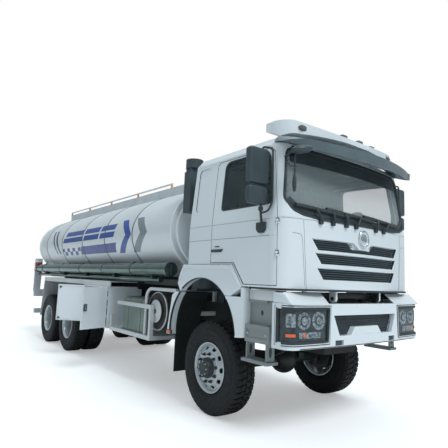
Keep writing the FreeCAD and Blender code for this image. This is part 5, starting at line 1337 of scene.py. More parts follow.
SEAL_BLACK = Finish("seal_black", Slot.TRIM, (42, 53, 56), (52, 63, 66), 5.0, (0.5, 0.65), relief=0.12)
GRILLE_DARK = Finish("grille_dark", Slot.TRIM, (36, 47, 54), (46, 57, 63), 7.0, (0.45, 0.6), relief=0.2)
GRILLE_SLATE = Finish("grille_slate", Slot.TRIM, (74, 90, 98), (62, 78, 86), 7.0, (0.32, 0.46),
    relief=0.1)
CHROME = Finish("chrome", Slot.ALUMINIUM, (206, 212, 214), (190, 197, 200), 3.0, (0.08, 0.16),
    metallic=0.85)
# painted shade: the grey that stands for the shade in the cab's pressed creases
CREASE_SHADE = Finish("crease_painted_shade", Slot.PAINT, (122, 138, 146), (134, 149, 157), 2.0, (0.4, 0.5),
    relief=0.02)
MARKER_SMOKE = Finish("marker_smoke", Slot.LAMP, (66, 76, 78), (88, 96, 96), 9.0, (0.12, 0.2), coat=0.7,
    relief=0.04)
MIRROR_GLASS = Finish("mirror_glass", Slot.TRIM, (178, 188, 192), (170, 180, 185), 2.0, (0.03, 0.06),
    metallic=0.9, relief=0.01)


def mirrored_flat(right: Outline) -> List[Flat]:
    """Close a half outline with its mirror image across the middle."""
    return list(right) + [(-across, up) for across, up in reversed(right)]


@dataclass
class Cab:
    """The cab's seals, grille, creases, mirrors, wipers and lamps."""

    screen_low: float = 2.336
    screen_high: float = 3.096
    screen_half: Flat = (1.162, 1.098)
    grille_slots: Tuple[Point, ...] = ((0.84, 1.99, 2.11), (0.79, 1.842, 1.959), (0.76, 1.673, 1.797))
    grille_slope: float = 0.09
    notch_top: float = 2.034
    roundel_height: float = 2.172
    roundel_radius: float = 0.1
    door_window: Tuple[Flat, ...] = ((0.24, 2.48), (1.095, 2.48), (1.024, 3.008), (0.96, 3.078),
        (0.29, 3.078), (0.24, 3.028))
    handle: Point = (0.195, 0.122, 1.98)
    marker_places: Tuple[float, ...] = (-0.185, 0.135, 0.425)
    end_marker: Flat = (0.86, 3.37)
    skin: Optional[Skin] = None
    sides: Dict[float, Skin] = field(default_factory=dict)

    def screen_outline(self, margin: float) -> List[Flat]:
        """List the windscreen's opening, grown by a margin."""
        wide, narrow = (half + margin for half in self.screen_half)
        low, high = self.screen_low - margin, self.screen_high + margin
        return mirrored_flat([(wide - 0.47, low), (wide - 0.21, low + 0.03),
            (wide - 0.075, low + 0.078), (wide, low + 0.19), (narrow, high - 0.11),
            (narrow - 0.022, high - 0.034), (narrow - 0.09, high)])

    def seals(self) -> None:
        """Lay the rubber round the windscreen and both door windows."""
        seats = self.skin.fronts(traced(self.screen_outline(0.009), 0.035, 1))
        laid(Shape(), seats, 0.034, -0.02, 0.007, True).finish("windscreen_seal", SEAL_BLACK, "cab")
        grown = [(along + math.copysign(0.008, along - 0.66), up + math.copysign(0.008, up - 2.78))
            for along, up in self.door_window]
        for sign, word in SIDES:
            seats = self.sides[sign].flanks(traced(grown, 0.04, 1), sign)
            laid(Shape(), seats, 0.024, -0.02, 0.003, True).finish("door_window_seal_" + word,
                SEAL_BLACK, "cab_door_" + word)

    def screen_bands(self) -> None:
        """Print the windscreen's dark foot, and lay dark bands of painted shade below the visor, on the
        glass's top and on the brow above it.
        """
        half = [(1.12, 2.52), (1.06, 2.455), (0.94, 2.398), (0.69, 2.372)]
        foot = self.skin.fronts(traced(mirrored_flat(half), 0.05, 2, False))
        laid(Shape(), foot, 0.062, -0.015, 0.001).finish("screen_foot", SEAL_BLACK, "cab")
        # painted shade: dark bands where the visor shades the windscreen's top and the brow
        for name, wide, heights, low, high in (
                ("screen_painted_shade", 1.04, (2.945, 3.01, 3.08), -0.012, 0.001),
                ("brow_painted_shade", 1.02, (3.115, 3.14), -0.002, 0.002)):
            rows = self.skin.grid((-wide, wide), heights, 30)
            patched(Shape(), rows, low, high).finish(name, SEAL_BLACK, "cab")

    def slot_half(self, slot: Point, up: float) -> float:
        """Give half a grille slot's width at a height."""
        half, low, high = slot
        return half - self.grille_slope * (high - up) / (high - low)

    def grille(self) -> None:
        """Fill the sunk slots with dark mesh behind slate bars, and ring the bare roundel."""
        mesh, bars = Shape(), Shape()
        for number, slot in enumerate(self.grille_slots):
            _, low, high = slot
            rows = []
            for share, _ in run((-0.985, 0.0), (0.985, 0.0), 32):
                across = share * self.slot_half(slot, low)
                notch = number == 0 and abs(across) < 0.2
                top = self.notch_top if notch else high - 0.006
                upper = across if notch else share * self.slot_half(slot, top)
                rows.append(self.skin.fronts([(across, low + 0.006), (upper, top)]))
            patched(mesh, rows, -0.002, 0.003)
            for step in range(1, 5):
                up = low + (high - low) * step / 5
                half = self.slot_half(slot, up) - 0.012
                split = number == 0 and up > self.notch_top
                for start, end in ((-half, -0.19), (0.19, half)) if split else ((-half, half),):
                    count = max(3, int((end - start) / 0.06))
                    laid(bars, self.skin.fronts(run((start, up), (end, up), count)), 0.008, 0.004,
                        0.022)
        mesh.finish("grille_mesh", GRILLE_DARK, "cab")
        bars.finish("grille_bars", GRILLE_SLATE, "cab")
        nose = self.skin.ahead(0.0, self.roundel_height)[0]
        centre = (nose[0], 0.0, self.roundel_height)
        radius = self.roundel_radius
        ring = Shape().turned([(-0.004, radius), (0.006, radius), (0.011, radius - 0.005),
            (0.011, radius - 0.012), (0.004, radius - 0.018), (-0.004, radius - 0.018)], centre, Axis.X,
            48)
        ring.turned([(-0.004, 0.062), (0.004, 0.06), (0.007, 0.05), (0.0075, 0.0)], centre, Axis.X, 40)
        ring.finish("roundel_ring", CHROME, "cab")

    def creases(self) -> None:
        """Draw the pressed lines on the doors, the rear panels and the front corners as thin grey
        strips of painted shade.
        """
        gutter, lines = Shape(), Shape()
        outline = traced([(0.925, 1.6), (0.972, 2.125), (1.0, 2.15), (1.1, 2.152)], 0.03, 2, False)
        for sign, word in SIDES:
            door, cab, skin = Shape(), Shape(), self.sides[sign]
            for up, width in ((2.12, 0.007), (2.3, 0.005)):
                for shape, start, end in ((door, 0.078, 1.186), (cab, -0.42, 0.05)):
                    seats = skin.flanks(run((start, up), (end, up), 24), sign)
                    laid(shape, seats, width, -0.002, 0.0012)
            door.finish("door_crease_shade_" + word, CREASE_SHADE, "cab_door_" + word)
            cab.finish("side_crease_shade_" + word, CREASE_SHADE, "cab")
            laid(gutter, skin.flanks(run((-0.36, 3.135), (1.02, 3.135), 24), sign), 0.014, -0.004,
                0.012)
            laid(lines, self.skin.fronts(outline, sign), 0.006, -0.002, 0.0015)
        gutter.finish("roof_gutter", CAB_WHITE, "cab")
        lines.finish("corner_crease_shades", CREASE_SHADE, "cab")

    def handles(self) -> None:
        """Sink a dark cup with a lever in each door."""
        along, half, up = self.handle
        for sign, word in SIDES:
            face = self.sides[sign].beside(along, up, sign)[0][1]
            thin, thick = (sorted((face, face + sign * out)) for out in (0.005, 0.02))
            outline = [(along - half, up + 0.017), (along - half + 0.012, up - 0.017),
                (along + half - 0.04, up - 0.017), (along + half, up + 0.017)]
            cup = Shape().prism(outline, face - 0.01, face + sign * 0.006, Axis.Y, 0.004)
            cup.block((along - 0.05, thin[0], up + 0.045), (along + 0.04, thin[1], up + 0.058), 0.002)
            lever = Shape().block((along - half + 0.03, thick[0], up - 0.008),
                (along + half - 0.05, thick[1], up + 0.01), 0.006)
            cup.finish("handle_cup_" + word, SEAL_BLACK, "cab_door_" + word)
            lever.finish("handle_lever_" + word, TRIM_SLATE, "cab_door_" + word)

    def markers(self) -> None:
        """Put a smoked lens over each marker lamp on the air guide."""
        lamps = Shape()
        for place in self.marker_places:
            back = 1.25 - place * place / 6.8
            outline = rounded((place - 0.052, 3.388), (place + 0.052, 3.44), 0.018)
            lamps.prism(outline, back - 0.034, back + 0.038, Axis.X, 0.012, 3)
        guide = Skin(["roof_guide"])
        across, up = self.end_marker
        for sign, _ in SIDES:
            face = guide.ahead(sign * across, up)[0][0]
            lamps.prism(oval((sign * across, up), (0.068, 0.034), 32), face - 0.02, face + 0.014,
                Axis.X, 0.008, 3)
        lamps.finish("marker_lamps", MARKER_SMOKE, "cab")

    def mirrors(self) -> None:
        """Make both tall mirrors with their glass, bent tubes and wedge feet."""
        for sign, word in SIDES:
            shells, tubes, panes = Shape(), Shape(), Shape()
            for low, high, rear, front in (((1.258, 2.66), (1.534, 3.052), 1.0, 1.088),
                    ((1.262, 2.44), (1.528, 2.636), 1.004, 1.082)):
                shells.prism(rounded(low, high, 0.035, 6), rear, front, Axis.X, 0.022, 4)
                inner = rounded((low[0] + 0.02, low[1] + 0.02), (high[0] - 0.02, high[1] - 0.02), 0.02)
                panes.prism(inner, rear - 0.003, rear + 0.004, Axis.X, 0.001)
            tubes.tube([(1.045, 1.335, 3.04), (1.05, 1.32, 3.082), (1.142, 1.264, 3.06),
                (1.146, 1.262, 2.46), (1.1, 1.28, 2.372), (1.044, 1.33, 2.352)], 0.011, 12, 0.05)
            tubes.tube([(1.042, 1.33, 2.45), (1.042, 1.33, 2.35), (1.0, 1.275, 2.28),
                (0.985, 1.262, 2.2)], 0.014, 12, 0.05)
            tubes.prism([(0.915, 2.265), (0.918, 2.185), (0.95, 2.15), (1.015, 2.15), (1.047, 2.185),
                (1.05, 2.265)], 1.2447, 1.283, Axis.Y, 0.008)
            tubes.turned(peg(-0.02, 0.02, 0.026), (1.042, 1.33, 2.4), Axis.Z, 20)
            for shape, name, finish, stood_for in ((panes, "mirror_panes_", MIRROR_GLASS, ()),
                    (shells, "mirror_shells_", TRIM_SLATE, ("mirror_" + word,)),
                    (tubes, "mirror_tubes_", SEAL_BLACK, ())):
                shape.on_side(sign).finish(name + word, finish, "cab_door_" + word, stood_for)

    def front_mirror(self) -> None:
        """Make the look-down mirror's pod, its rods and the narrow drooping mirror."""
        rings = []
        for step in range(1, 12):
            wide, along = math.sin(math.pi * step / 12) ** 0.8, -math.cos(math.pi * step / 12)
            circle = oval((1.495 + 0.02 * along, 2.982 + 0.024 * along), (0.072 * wide, 0.046 * wide),
                20)
            rings.append([(x, -1.2 + 0.118 * along, z) for x, z in circle])
        Shape().rings(rings).finish("look_down_pod", TRIM_SLATE, "cab", ["look_down_mirror"])
        rods = Shape()
        rods.tube([(1.14, -1.105, 2.98), (1.3, -1.16, 3.0), (1.46, -1.24, 2.99)], 0.011, 10, 0.08)
        rods.tube([(1.2, -1.13, 2.93), (1.34, -1.2, 2.84), (1.452, -1.278, 2.8)], 0.007, 8, 0.03)
        rods.tube([(1.47, -1.27, 2.99), (1.47, -1.276, 2.7)], 0.008, 10)
        rods.turned([(-0.1, 0.0), (-0.092, 0.012), (-0.05, 0.021), (0.03, 0.021), (0.08, 0.012),
            (0.1, 0.0)], (1.47, -1.277, 2.63), Axis.Z, 16)
        rods.finish("look_down_rods", SEAL_BLACK, "cab")

    def wipers(self) -> None:
        """Park three long blades with paired arms across the windscreen's foot."""
        whole = Shape()
        for start, end, pivots in (((-1.06, 2.452), (-0.28, 2.392), (-0.727, -0.546)),
                ((-0.63, 2.446), (0.2, 2.392), (-0.327, -0.15)),
                ((0.02, 2.436), (0.84, 2.402), (0.257, 0.445))):
            seats = self.skin.fronts(run(start, end, 18))
            laid(whole, seats, 0.042, 0.002, 0.034)
            for number, across in enumerate(pivots):
                foot, normal = self.skin.ahead(across, 2.318)
                goal, goal_normal = seats[6 + 6 * number]
                near = foot + normal * 0.032
                far = goal + goal_normal * 0.034
                middle = near.lerp(far, 0.5) + normal * 0.012
                whole.tube([foot + normal * 0.002, near], 0.019, 14)
                whole.tube([near, middle, far], 0.014, 10, 0.06)
                whole.prism(rounded((across - 0.026, 2.272), (across + 0.026, 2.342), 0.012),
                    foot[0] - 0.01, foot[0] + 0.03, Axis.X, 0.006)
        whole.finish("wiper_set", SEAL_BLACK, "cab", ["wipers"])

    def build(self) -> None:
        """Make all the cab's trim."""
        self.skin = Skin(["cab_shell"], ["windscreen"])
        for sign, word in SIDES:
            self.sides[sign] = Skin(["cab_shell", "door_" + word], ["door_glass_" + word])
        self.seals()
        self.screen_bands()
        self.grille()
        self.creases()
        self.handles()
        self.markers()
        self.mirrors()
        self.front_mirror()
        self.wipers()


# Bumper, lamps, steps and arches


LAMP_BOWL = Finish("lamp_bowl", Slot.LAMP, (34, 43, 48), (58, 70, 76), 16.0, (0.12, 0.22), grain=60.0,
    relief=0.4, relief_depth=0.002)
LAMP_GLINT = Finish("lamp_glint", Slot.LAMP, (66, 80, 88), (168, 178, 184), 38.0, (0.1, 0.2),
    metallic=0.3, grain=90.0, relief=0.6, relief_depth=0.003)
LAMP_FRAME = Finish("lamp_frame", Slot.LAMP, (226, 234, 238), (214, 223, 228), 3.0, (0.14, 0.22),
    coat=0.6)
LAMP_AMBER = Finish("lamp_amber", Slot.LAMP, (226, 104, 48), (206, 84, 40), 9.0, (0.1, 0.18), coat=0.7,
    relief=0.05)
LAMP_RED = replace(LAMP_AMBER, name="lamp_red", colour=(186, 40, 36), drift=(160, 30, 30))
STEP_RIB = Finish("step_rib", Slot.STEP, (170, 180, 181), (150, 160, 162), 8.0, (0.35, 0.5),
    metallic=0.3, relief=0.1)


@dataclass
class Front:
    """The bumper's lamps and insert, the steps' treads and the front arches' trim."""

    lamp_inner: float = 0.7
    lamp_slant: float = 0.02
    lamp_low: float = 1.04
    lamp_high: float = 1.37
    lamp_rear: float = 1.236
    corner: Flat = (1.262, 1.092)
    insert: Flat = (1.087, 1.298)
    arch_centre: Flat = (-0.1, 0.945)
    arch_radius: float = 0.704
    skin: Optional[Skin] = None

    def lamp_edge(self, up: float, sign: float, inner: float) -> List[Seat]:
        """List seats along the bumper from a lamp's inner end round to its side."""
        return (self.skin.fronts(run((inner, up), (1.1, up), 8), sign)
            + [self.skin.round_corner(self.corner, 12.0 + 13.0 * step, up, sign) for step in range(7)])

    def lamp_loop(self, grow: float, sign: float) -> List[Seat]:
        """List seats round a headlamp's opening, grown by a margin."""
        low, high, end = self.lamp_low - grow, self.lamp_high + grow, self.lamp_rear - grow
        inner = self.lamp_inner - grow
        slant = inner - self.lamp_slant
        side = self.skin.flanks(run((end, low), (end, high), 6), sign)
        inside = self.skin.fronts(run((slant, high), (inner, low), 6)[1:-1], sign)
        return [*self.lamp_edge(low, sign, inner), *side, *self.lamp_edge(high, sign, slant)[::-1],
            *inside]

    def headlamps(self) -> None:
        """Frame both lamps twice and fit their bowls, lenses and turn lamps."""
        frames, rims, bowls, lenses, amber = (Shape() for _ in range(5))
        for sign, _ in SIDES:
            for shape, grow, width, low, high in ((rims, 0.031, 0.01, -0.004, 0.005),
                    (frames, 0.0225, 0.009, -0.004, 0.008), (rims, 0.004, 0.03, -0.016, 0.006)):
                laid(shape, self.lamp_loop(grow, sign), width, low, high, True)
            for across, half in ((0.82, 0.098), (1.03, 0.092)):
                place, normal = self.skin.ahead(sign * across, 1.25)
                for shape, out, size, depth, steps in ((bowls, 0.0, (half, half - 0.006), 0.008, 32),
                        (rims, 0.007, (0.058, 0.054), 0.004, 28),
                        (bowls, 0.01, (0.046, 0.042), 0.006, 24)):
                    lens(shape, (place + normal * out, normal), size, depth, steps)
            patched(lenses, self.skin.grid((0.8, 1.1), (1.078, 1.138), 11, sign), -0.002, 0.006)
            for across in (0.86, 0.93, 1.03):
                place, normal = self.skin.ahead(sign * across, 1.108)
                lens(amber if across > 1.0 else bowls, (place + normal * 0.007, normal), (0.024, 0.022),
                    0.006, 18)
            for shape, heights, out in ((bowls, (1.19, 1.325), 0.006), (amber, (1.095, 1.125), 0.008)):
                rows = [[self.skin.round_corner(self.corner, 22.0 + 6.5 * step, up, sign)
                    for up in heights] for step in range(7)]
                patched(shape, rows, -0.002, out)
        frames.finish("lamp_frames", LAMP_FRAME)
        rims.finish("lamp_rims", SEAL_BLACK)
        bowls.finish("lamp_bowls", LAMP_GLINT)
        lenses.finish("lamp_lenses", LAMP_GLINT)
        amber.finish("turn_lamps", LAMP_AMBER)

    def bumper_insert(self) -> None:
        """Back the bumper's middle with dark mesh and lay bars across it."""
        low, high = self.insert
        panel = [(-0.505, low), (0.505, low), (0.592, high), (-0.592, high)]
        Shape().prism(panel, 1.376, 1.383, Axis.X).finish("insert_mesh", GRILLE_DARK)
        bar = Shape().prism(rounded((-0.55, 1.186), (0.55, 1.202), 0.004, 3), 1.384, 1.392, Axis.X)
        rowed("insert_bars_upper", bar, GRILLE_DARK, 3, (0.0, 0.0, 0.04))
        short = Shape().prism(rounded((0.315, 1.1), (0.505, 1.116), 0.004, 3), 1.384, 1.392, Axis.X)
        rowed("insert_bars_lower", short.both_sides(), GRILLE_DARK, 2, (0.0, 0.0, 0.04))

    def bumper_trim(self) -> None:
        """Add the bumper's lip, tow covers and cheeks, and what closes the gap above it; the black
        strip under the cab's foot is partly a dark bar and partly painted shade of that gap.
        """
        seats = self.skin.fronts(run((-1.1, 0.977), (1.1, 0.977), 30))
        laid(Shape(), seats, 0.008, -0.002, 0.004).finish("bumper_lip", SEAL_BLACK)
        cover = Shape().prism(rounded((0.444, 0.989), (0.571, 1.036), 0.008), 1.4, 1.428, Axis.X, 0.003)
        cover.both_sides().finish("tow_covers", TRIM_SLATE)
        beams = Shape()
        for side in (0.24, 0.62, 1.02):
            beams.block((1.175, side, 1.3), (1.235, side + 0.03, 1.47), 0.004)
        beams.both_sides().block((1.17, -1.08, 1.462), (1.24, 1.08, 1.535), 0.006)
        beams.tube([(1.2, -1.06, 1.36), (1.2, 1.06, 1.36)], 0.022, 14)
        beams.finish("front_beams", FRAME_BLACK)
        well = Shape().block((0.745, 1.02, 1.43), (1.15, 1.19, 1.54), 0.006)
        well.both_sides().finish("step_wells", GUARD_GREY)
        # a black strip under the cab's foot: partly the dark bar there, partly painted shade that
        # closes the gap
        plan = [(0.72, -1.19), (1.2, -1.19), (1.3, -1.13), (1.36, -1.0), (1.385, -0.8)]
        plan += [(along, -across) for along, across in reversed(plan)]
        Shape().prism(plan, 1.546, 1.569, Axis.Z, 0.005).finish("cab_foot_and_gap_shade", SEAL_BLACK, "cab")
        cheek = Shape().prism([(1.16, 1.425), (1.16, 1.528), (1.285, 1.528), (1.405, 1.42)], 1.212,
            1.229, Axis.Y, 0.004)
        cheek.both_sides().finish("bumper_cheeks", CAB_WHITE)

    def steps(self) -> None:
        """Lay dark ovals of painted shade for the step hangers' holes, bolt the hangers and rib the
        treads.
        """
        # painted shade: thin dark ovals stand for the hangers' holes
        holes = Shape().prism(oval((0.93, 1.295), (0.02, 0.028), 20), 1.1602, 1.1615)
        for face in (1.0662, 0.7612):
            holes.prism(oval((1.16, 0.9), (0.02, 0.055), 24), face, face + 0.0012, Axis.X)
        holes.both_sides().finish("step_hole_shades", SEAL_BLACK)
        bolts = Shape()
        for along in (0.79, 1.07):
            seat = (Vector((along, 1.238, 1.075)), Vector((0.0, 1.0, 0.0)))
            lens(bolts, seat, (0.012, 0.012), 0.006, 12)
        bolts.both_sides().finish("step_bolts", BARE_STEEL)
        for name, start, count, low, near, far in (("low", 0.705, 18, 0.8, 1.08, 1.23),
                ("middle", 0.757, 17, 1.165, 1.166, 1.23), ("upper", 0.76, 13, 1.43, 1.02, 1.18)):
            rib = Shape().block((-0.004, near, low - 0.002), (0.004, far, low + 0.005), 0.0015)
            rowed("step_ribs_" + name, rib.both_sides(), STEP_RIB, count, (0.021, 0.0, 0.0),
                (start, 0.0, 0.0))

    def arches(self) -> None:
        """Edge the wheel arches with a dark bead and the cab fenders with a rounded lip."""
        bead, lips = Shape(), Shape()
        across, up = self.arch_centre
        for start, end in ((44.0, 128.0), (6.0, 42.0), (134.0, 182.0)):
            points = oval(self.arch_centre, (self.arch_radius, self.arch_radius), 26, start, end)
            seats = [(Vector((x, 1.25, z)), Vector((across - x, 0.0, up - z)).normalized())
                for x, z in points]
            laid(bead, seats, 0.03, -0.002, 0.008)
        bead.both_sides().finish("arch_beads", SEAL_BLACK)
        fenders = Skin(["upper_fenders"])
        edge = traced([(-0.6, 1.615), (-0.516, 1.785), (0.477, 1.785), (0.626, 1.585)], 0.04, 3, False)
        for sign, _ in SIDES:
            laid(lips, fenders.flanks(edge, sign), 0.042, -0.002, 0.012)
        lips.finish("fender_lips", CAB_WHITE, "cab")

    def build(self) -> None:
        """Make all the front's trim."""
        self.skin = Skin(["bumper", "lamps"])
        self.headlamps()
        self.bumper_insert()
        self.bumper_trim()
        self.steps()
        self.arches()


# Side and rear pieces


LAMP_WHITE = replace(LAMP_AMBER, name="lamp_white", colour=(232, 238, 242), drift=(214, 222, 227))
FUEL_GREY = Finish("fuel_grey", Slot.ALUMINIUM, (128, 143, 136), (112, 126, 118), 3.0, (0.3, 0.45),
    metallic=0.3, relief=0.05)
# painted shade: the dark green of the tank's shaded underside, laid on panels below it; the dust low
# down is dust
BELLY_SHADE_GREEN = Finish("belly_painted_shade", Slot.FRAME, (66, 82, 74), (84, 98, 86), 2.2, (0.3, 0.5),
    relief=0.15, dust=0.3, dust_top=1.7, dust_colour=(96, 104, 88))
PLATE_WHITE = Finish("plate_white", Slot.TRIM, (212, 218, 220), (200, 207, 209), 5.0, (0.3, 0.4),
    relief=0.05)


@dataclass
class Side:
    """The cabinet leaves' fittings, the trim along the sides and the rear lamps."""

    leaf_width: float = 0.545
    leaf_half: float = 0.012
    leaf_side: float = -1.263
    front_hinge: float = -2.995
    rear_hinge: float = -4.105
    drum: Point = (-1.37, -1.165, 1.13)

    def leaf(self, front: bool) -> None:
        """Fit one leaf with its edge, catches, lever and hinge straps.

        Args:
            front: Whether it is the front leaf.
        """
        word, sign, hinge, turn = (("front", -1.0, self.front_hinge, 112.0) if front
            else ("rear", 1.0, self.rear_hinge, -135.0))
        face, middle = self.leaf_half, sign * (self.leaf_width - 0.055)
        edge, dark, lever = Shape(), Shape(), Shape()
        near, far = sorted((sign * 0.03, sign * (self.leaf_width - 0.012)))
        for low, high, foot, top in ((near, far, 0.731, 0.749), (near, far, 1.391, 1.409),
                (near, near + 0.018, 0.749, 1.391), (far - 0.018, far, 0.749, 1.391)):
            edge.block((low, face, foot), (high, face + 0.008, top), 0.003)
        for low in (0.752, 1.352):
            near, far = sorted((middle - sign * 0.018, middle + sign * 0.022))
            dark.block((near, face - 0.001, low), (far, face + 0.014, low + 0.036), 0.004)
        dish = rounded((middle - 0.034, 1.02), (middle + 0.034, 1.14), 0.02)
        dark.prism(dish, -face - 0.02, -face + 0.001, Axis.Y, 0.003)
        lever.block((middle - 0.01, -face - 0.03, 1.035), (middle + 0.01, -face - 0.018, 1.125), 0.004)
        swing = Matrix.Rotation(math.radians(turn), 4, "Z")
        place = Matrix.Translation((hinge, self.leaf_side, 0.0)) @ swing
        for shape, name, finish in ((edge, "leaf_edge_", CAB_WHITE),
                (dark, "leaf_catches_", TRIM_SLATE), (lever, "leaf_lever_", CHROME)):
            Shape().take(shape.mesh, place).finish(name + word, finish, "cabinet_leaf_" + word)
        strap = Shape().block((hinge - 0.012, -1.2475, 0.0), (hinge + 0.016, -1.2435, 0.095), 0.0015)
        rowed("hinge_straps_" + word, strap, TRIM_SLATE, 4, (0.0, 0.0, 0.16), (0.0, 0.0, 0.78))

    def drum_disc(self) -> None:
        """Dress the round box's end disc: a bright ring, a dish and a dark middle."""
        profile = [(0.0, 0.166), (-0.006, 0.168), (-0.011, 0.16), (-0.012, 0.148), (-0.004, 0.138),
            (-0.003, 0.09), (-0.014, 0.07), (-0.016, 0.0)]
        Shape().turned(profile, self.drum, Axis.Y, 48).finish("drum_disc", GUARD_GREY)
        middle = [(-0.014, 0.038), (-0.02, 0.036), (-0.022, 0.0)]
        Shape().turned(middle, self.drum, Axis.Y, 24).finish("drum_middle", TRIM_SLATE)
        rim = [(0.045, 0.281), (0.04, 0.286), (0.028, 0.286), (0.022, 0.281), (0.022, 0.27),
            (0.045, 0.27)]
        whole = Shape()
        for back in (0.0, 0.22, 0.44):
            whole.turned([(along + back, radius) for along, radius in rim], self.drum, Axis.Y, 48)
        whole.finish("drum_ribs", BARE_STEEL)

    def trim(self) -> None:
        """Close the tank's belly with dark green panels of painted shade, run the drain pipes and put
        an amber lamp at each arch.
        """
        outline = [(-7.78, 1.575), (-7.78, 1.69), (-1.3, 1.69), (-1.3, 1.5), (-2.6, 1.5)]
        panel = Shape().prism(outline, 0.585, 0.6, Axis.Y, 0.003)
        pipe = Shape().tube([(-7.86, -1.12, 1.598), (-1.35, -1.12, 1.598)], 0.042, 24)
        base = Shape().block((-0.852, 1.244, 0.88), (-0.748, 1.268, 0.93), 0.004)
        amber = Shape().block((-0.844, 1.266, 0.886), (-0.756, 1.282, 0.924), 0.007, 3)
        for shape, name, finish in ((panel, "belly_shade_panels", BELLY_SHADE_GREEN),
                (pipe, "drain_pipes", TUBE_BRIGHT), (base, "side_lamp_bases", TRIM_SLATE),
                (amber, "side_lamp_lenses", LAMP_AMBER)):
            shape.both_sides().finish(name, finish)

    def tail(self) -> None:
        """Build each tail lamp of white, red and orange lenses in a dark tray."""
        for word, finish, low, high in (("white", LAMP_WHITE, 1.905, 1.984),
                ("red", LAMP_RED, 1.795, 1.9), ("orange", LAMP_AMBER, 1.735, 1.79),
                ("low_red", LAMP_RED, 1.666, 1.73)):
            glass = Shape().block((-8.058, 1.068, low), (-7.948, 1.238, high), 0.012, 3)
            glass.both_sides().finish("tail_lens_" + word, finish)
        tray = Shape().block((-8.045, 1.064, 1.661), (-7.955, 1.232, 1.989), 0.006)
        tray.both_sides().finish("tail_trays", TRIM_SLATE)
        plates = Shape().block((-7.999, -0.26, 0.92), (-7.992, 0.26, 1.03), 0.006)
        plates.block((-7.993, -0.2, 0.93), (-7.938, 0.2, 1.02), 0.004)
        plates.finish("rear_plate", PLATE_WHITE)

    def build(self) -> None:
        """Make all of the sides' and the rear's pieces."""
        self.leaf(True)
        self.leaf(False)
        self.drum_disc()
        self.trim()
        self.tail()


# Stage, camera and the whole


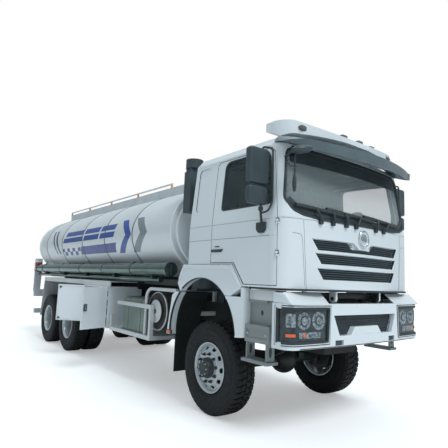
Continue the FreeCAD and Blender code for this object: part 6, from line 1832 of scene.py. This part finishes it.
@dataclass
class Studio:
    """The floor, the light and the camera at the photograph's angle."""

    place: Point = (7.550, -4.378, 1.636)
    yaw: float = 142.05
    pitch: float = 7.45
    roll: float = 2.2
    lens: float = 34.1
    sun_strength: float = 1.6
    sun_colour: Point = (0.94, 0.98, 1.0)
    sky_colour: Point = (0.84, 0.94, 1.0)
    horizon_strength: float = 0.27
    zenith_strength: float = 0.85
    floor_half: float = 80.0
    floor_lift: float = 0.36

    def floor(self) -> None:
        """Lay a pale floor that keeps the truck's shadow."""
        shader = Shader("studio_floor")
        pale = shader.blend(shader.noise(0.4, 2.0), (0.78, 0.8, 0.81), (0.8, 0.82, 0.83))
        path = shader.add("ShaderNodeLightPath")
        lift = shader.spread(path.outputs["Is Camera Ray"], (0.0, 1.0), (0.0, self.floor_lift))
        shader.wire(shader.surface, {"Base Color": pale, "Roughness": 0.9,
            "Emission Color": (1.0, 1.0, 1.0, 1.0), "Emission Strength": lift})
        data = bpy.data.meshes.new("floor")
        half = self.floor_half
        corners = [(-half, -half, 0.0), (half, -half, 0.0), (half, half, 0.0), (-half, half, 0.0)]
        data.from_pydata(corners, [], [(0, 1, 2, 3)])
        data.materials.append(shader.material)
        placed("floor", data)

    def sky(self) -> None:
        """Surround the truck with plain light that the camera sees as white."""
        world = bpy.data.worlds.new("studio")
        world.use_nodes = True
        nodes = Nodes(world.node_tree)
        way = nodes.add("ShaderNodeTexCoord").outputs["Generated"]
        parts = nodes.add("ShaderNodeSeparateXYZ", {0: way})
        rise = nodes.add("ShaderNodeMapRange", {"Value": parts.outputs["Z"],
            "To Min": self.horizon_strength, "To Max": self.zenith_strength})
        light = nodes.add("ShaderNodeBackground", {"Color": (*self.sky_colour, 1.0),
            "Strength": rise.outputs["Result"]})
        seen = nodes.add("ShaderNodeBackground", {"Color": (1.0, 1.0, 1.0, 1.0)})
        path = nodes.add("ShaderNodeLightPath").outputs
        either = nodes.add("ShaderNodeMath", {0: path["Is Camera Ray"], 1: path["Is Transmission Ray"]},
            operation="MAXIMUM")
        chosen = nodes.add("ShaderNodeMixShader", {0: either.outputs[0], 1: light.outputs[0],
            2: seen.outputs[0]})
        nodes.add("ShaderNodeOutputWorld", {"Surface": chosen.outputs[0]})
        bpy.context.scene.world = world

    def lamps(self) -> None:
        """Hang a broad soft sun ahead of the truck and a weak one behind."""
        for name, strength, angle, way in (("key", self.sun_strength, 22.0, (-0.64, 0.0, -0.77)),
                ("fill", self.sun_strength * 0.16, 60.0, (0.5, -0.7, -0.5))):
            data = bpy.data.lights.new(name, "SUN")
            data.energy = strength
            data.color = self.sun_colour
            data.angle = math.radians(angle)
            lamp = placed(name, data)
            lamp.rotation_euler = Vector(way).to_track_quat("-Z", "Y").to_euler()

    def camera(self) -> None:
        """Stand the camera where the photograph was taken from."""
        yaw, pitch, roll = (math.radians(turn) for turn in (self.yaw, self.pitch, self.roll))
        ahead = Vector((math.cos(yaw) * math.cos(pitch), math.sin(yaw) * math.cos(pitch),
            math.sin(pitch)))
        across = ahead.cross(Vector((0.0, 0.0, 1.0))).normalized()
        above = across.cross(ahead)
        right = across * math.cos(roll) + above * math.sin(roll)
        upward = above * math.cos(roll) - across * math.sin(roll)
        data = bpy.data.cameras.new("camera")
        data.lens = self.lens
        data.sensor_width = 36.0
        data.clip_end = 400.0
        camera = placed("camera", data)
        turn = Matrix((right, upward, -ahead)).transposed().to_4x4()
        camera.matrix_world = Matrix.Translation(Vector(self.place)) @ turn
        bpy.context.scene.camera = camera

    def build(self) -> None:
        """Set the whole stage."""
        self.floor()
        self.sky()
        self.lamps()
        self.camera()
        bpy.context.scene.view_settings.view_transform = "Standard"


SLOT_FINISHES: Dict[str, object] = {finish.slot.value: finish for finish in (CAB_WHITE, TANK_SILVER,
    FRAME_BLACK, STEP_GREY, GUARD_GREY, BARE_STEEL, ALUMINIUM, RIM_SILVER, CAST_DARK, TYRE_BLACK,
    FLAP_BLACK, TRIM_SLATE, VISOR_SMOKE, INSIDE_GREY, LAMP_CLEAR)}
# the other panes take the side glass, dark with painted shade
SLOT_FINISHES[Slot.GLASS.value] = Glass.SIDE


def finish_solids(changes: Dict[str, object]) -> None:
    """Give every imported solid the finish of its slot, or one of its own.

    Args:
        changes: Finishes for solids that differ from their slot.
    """
    slots = {row["node"]: row["material_slot"] for row in frame["record"]["subparts"]}
    for name, solid in frame["nodes"].items():
        finish = changes.get(name) or SLOT_FINISHES[slots[name]]
        for holder in solid.material_slots:
            holder.material = finish.material()


def main() -> None:
    """Build the truck's dress in order."""
    logging.basicConfig(level=logging.INFO, format="%(message)s")
    Studio().build()
    finish_solids({"hose_tubes": TUBE_BRIGHT, "walkway": RAIL_ALLOY, "lamps": LAMP_BOWL,
        "windscreen": Glass.SCREEN, "cab_shell": CAB_LINED_SHADED, "door_left": CAB_LINED_SHADED,
        "door_right": CAB_LINED_SHADED, "rear_board": RAIL_ALLOY, "rear_ladder": RAIL_ALLOY,
        "fuel_tank": FUEL_GREY})
    for maker in (Wheels, Tank, Cab, Front, Side):
        maker().build()
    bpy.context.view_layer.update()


if __name__ == "__main__":
    main()
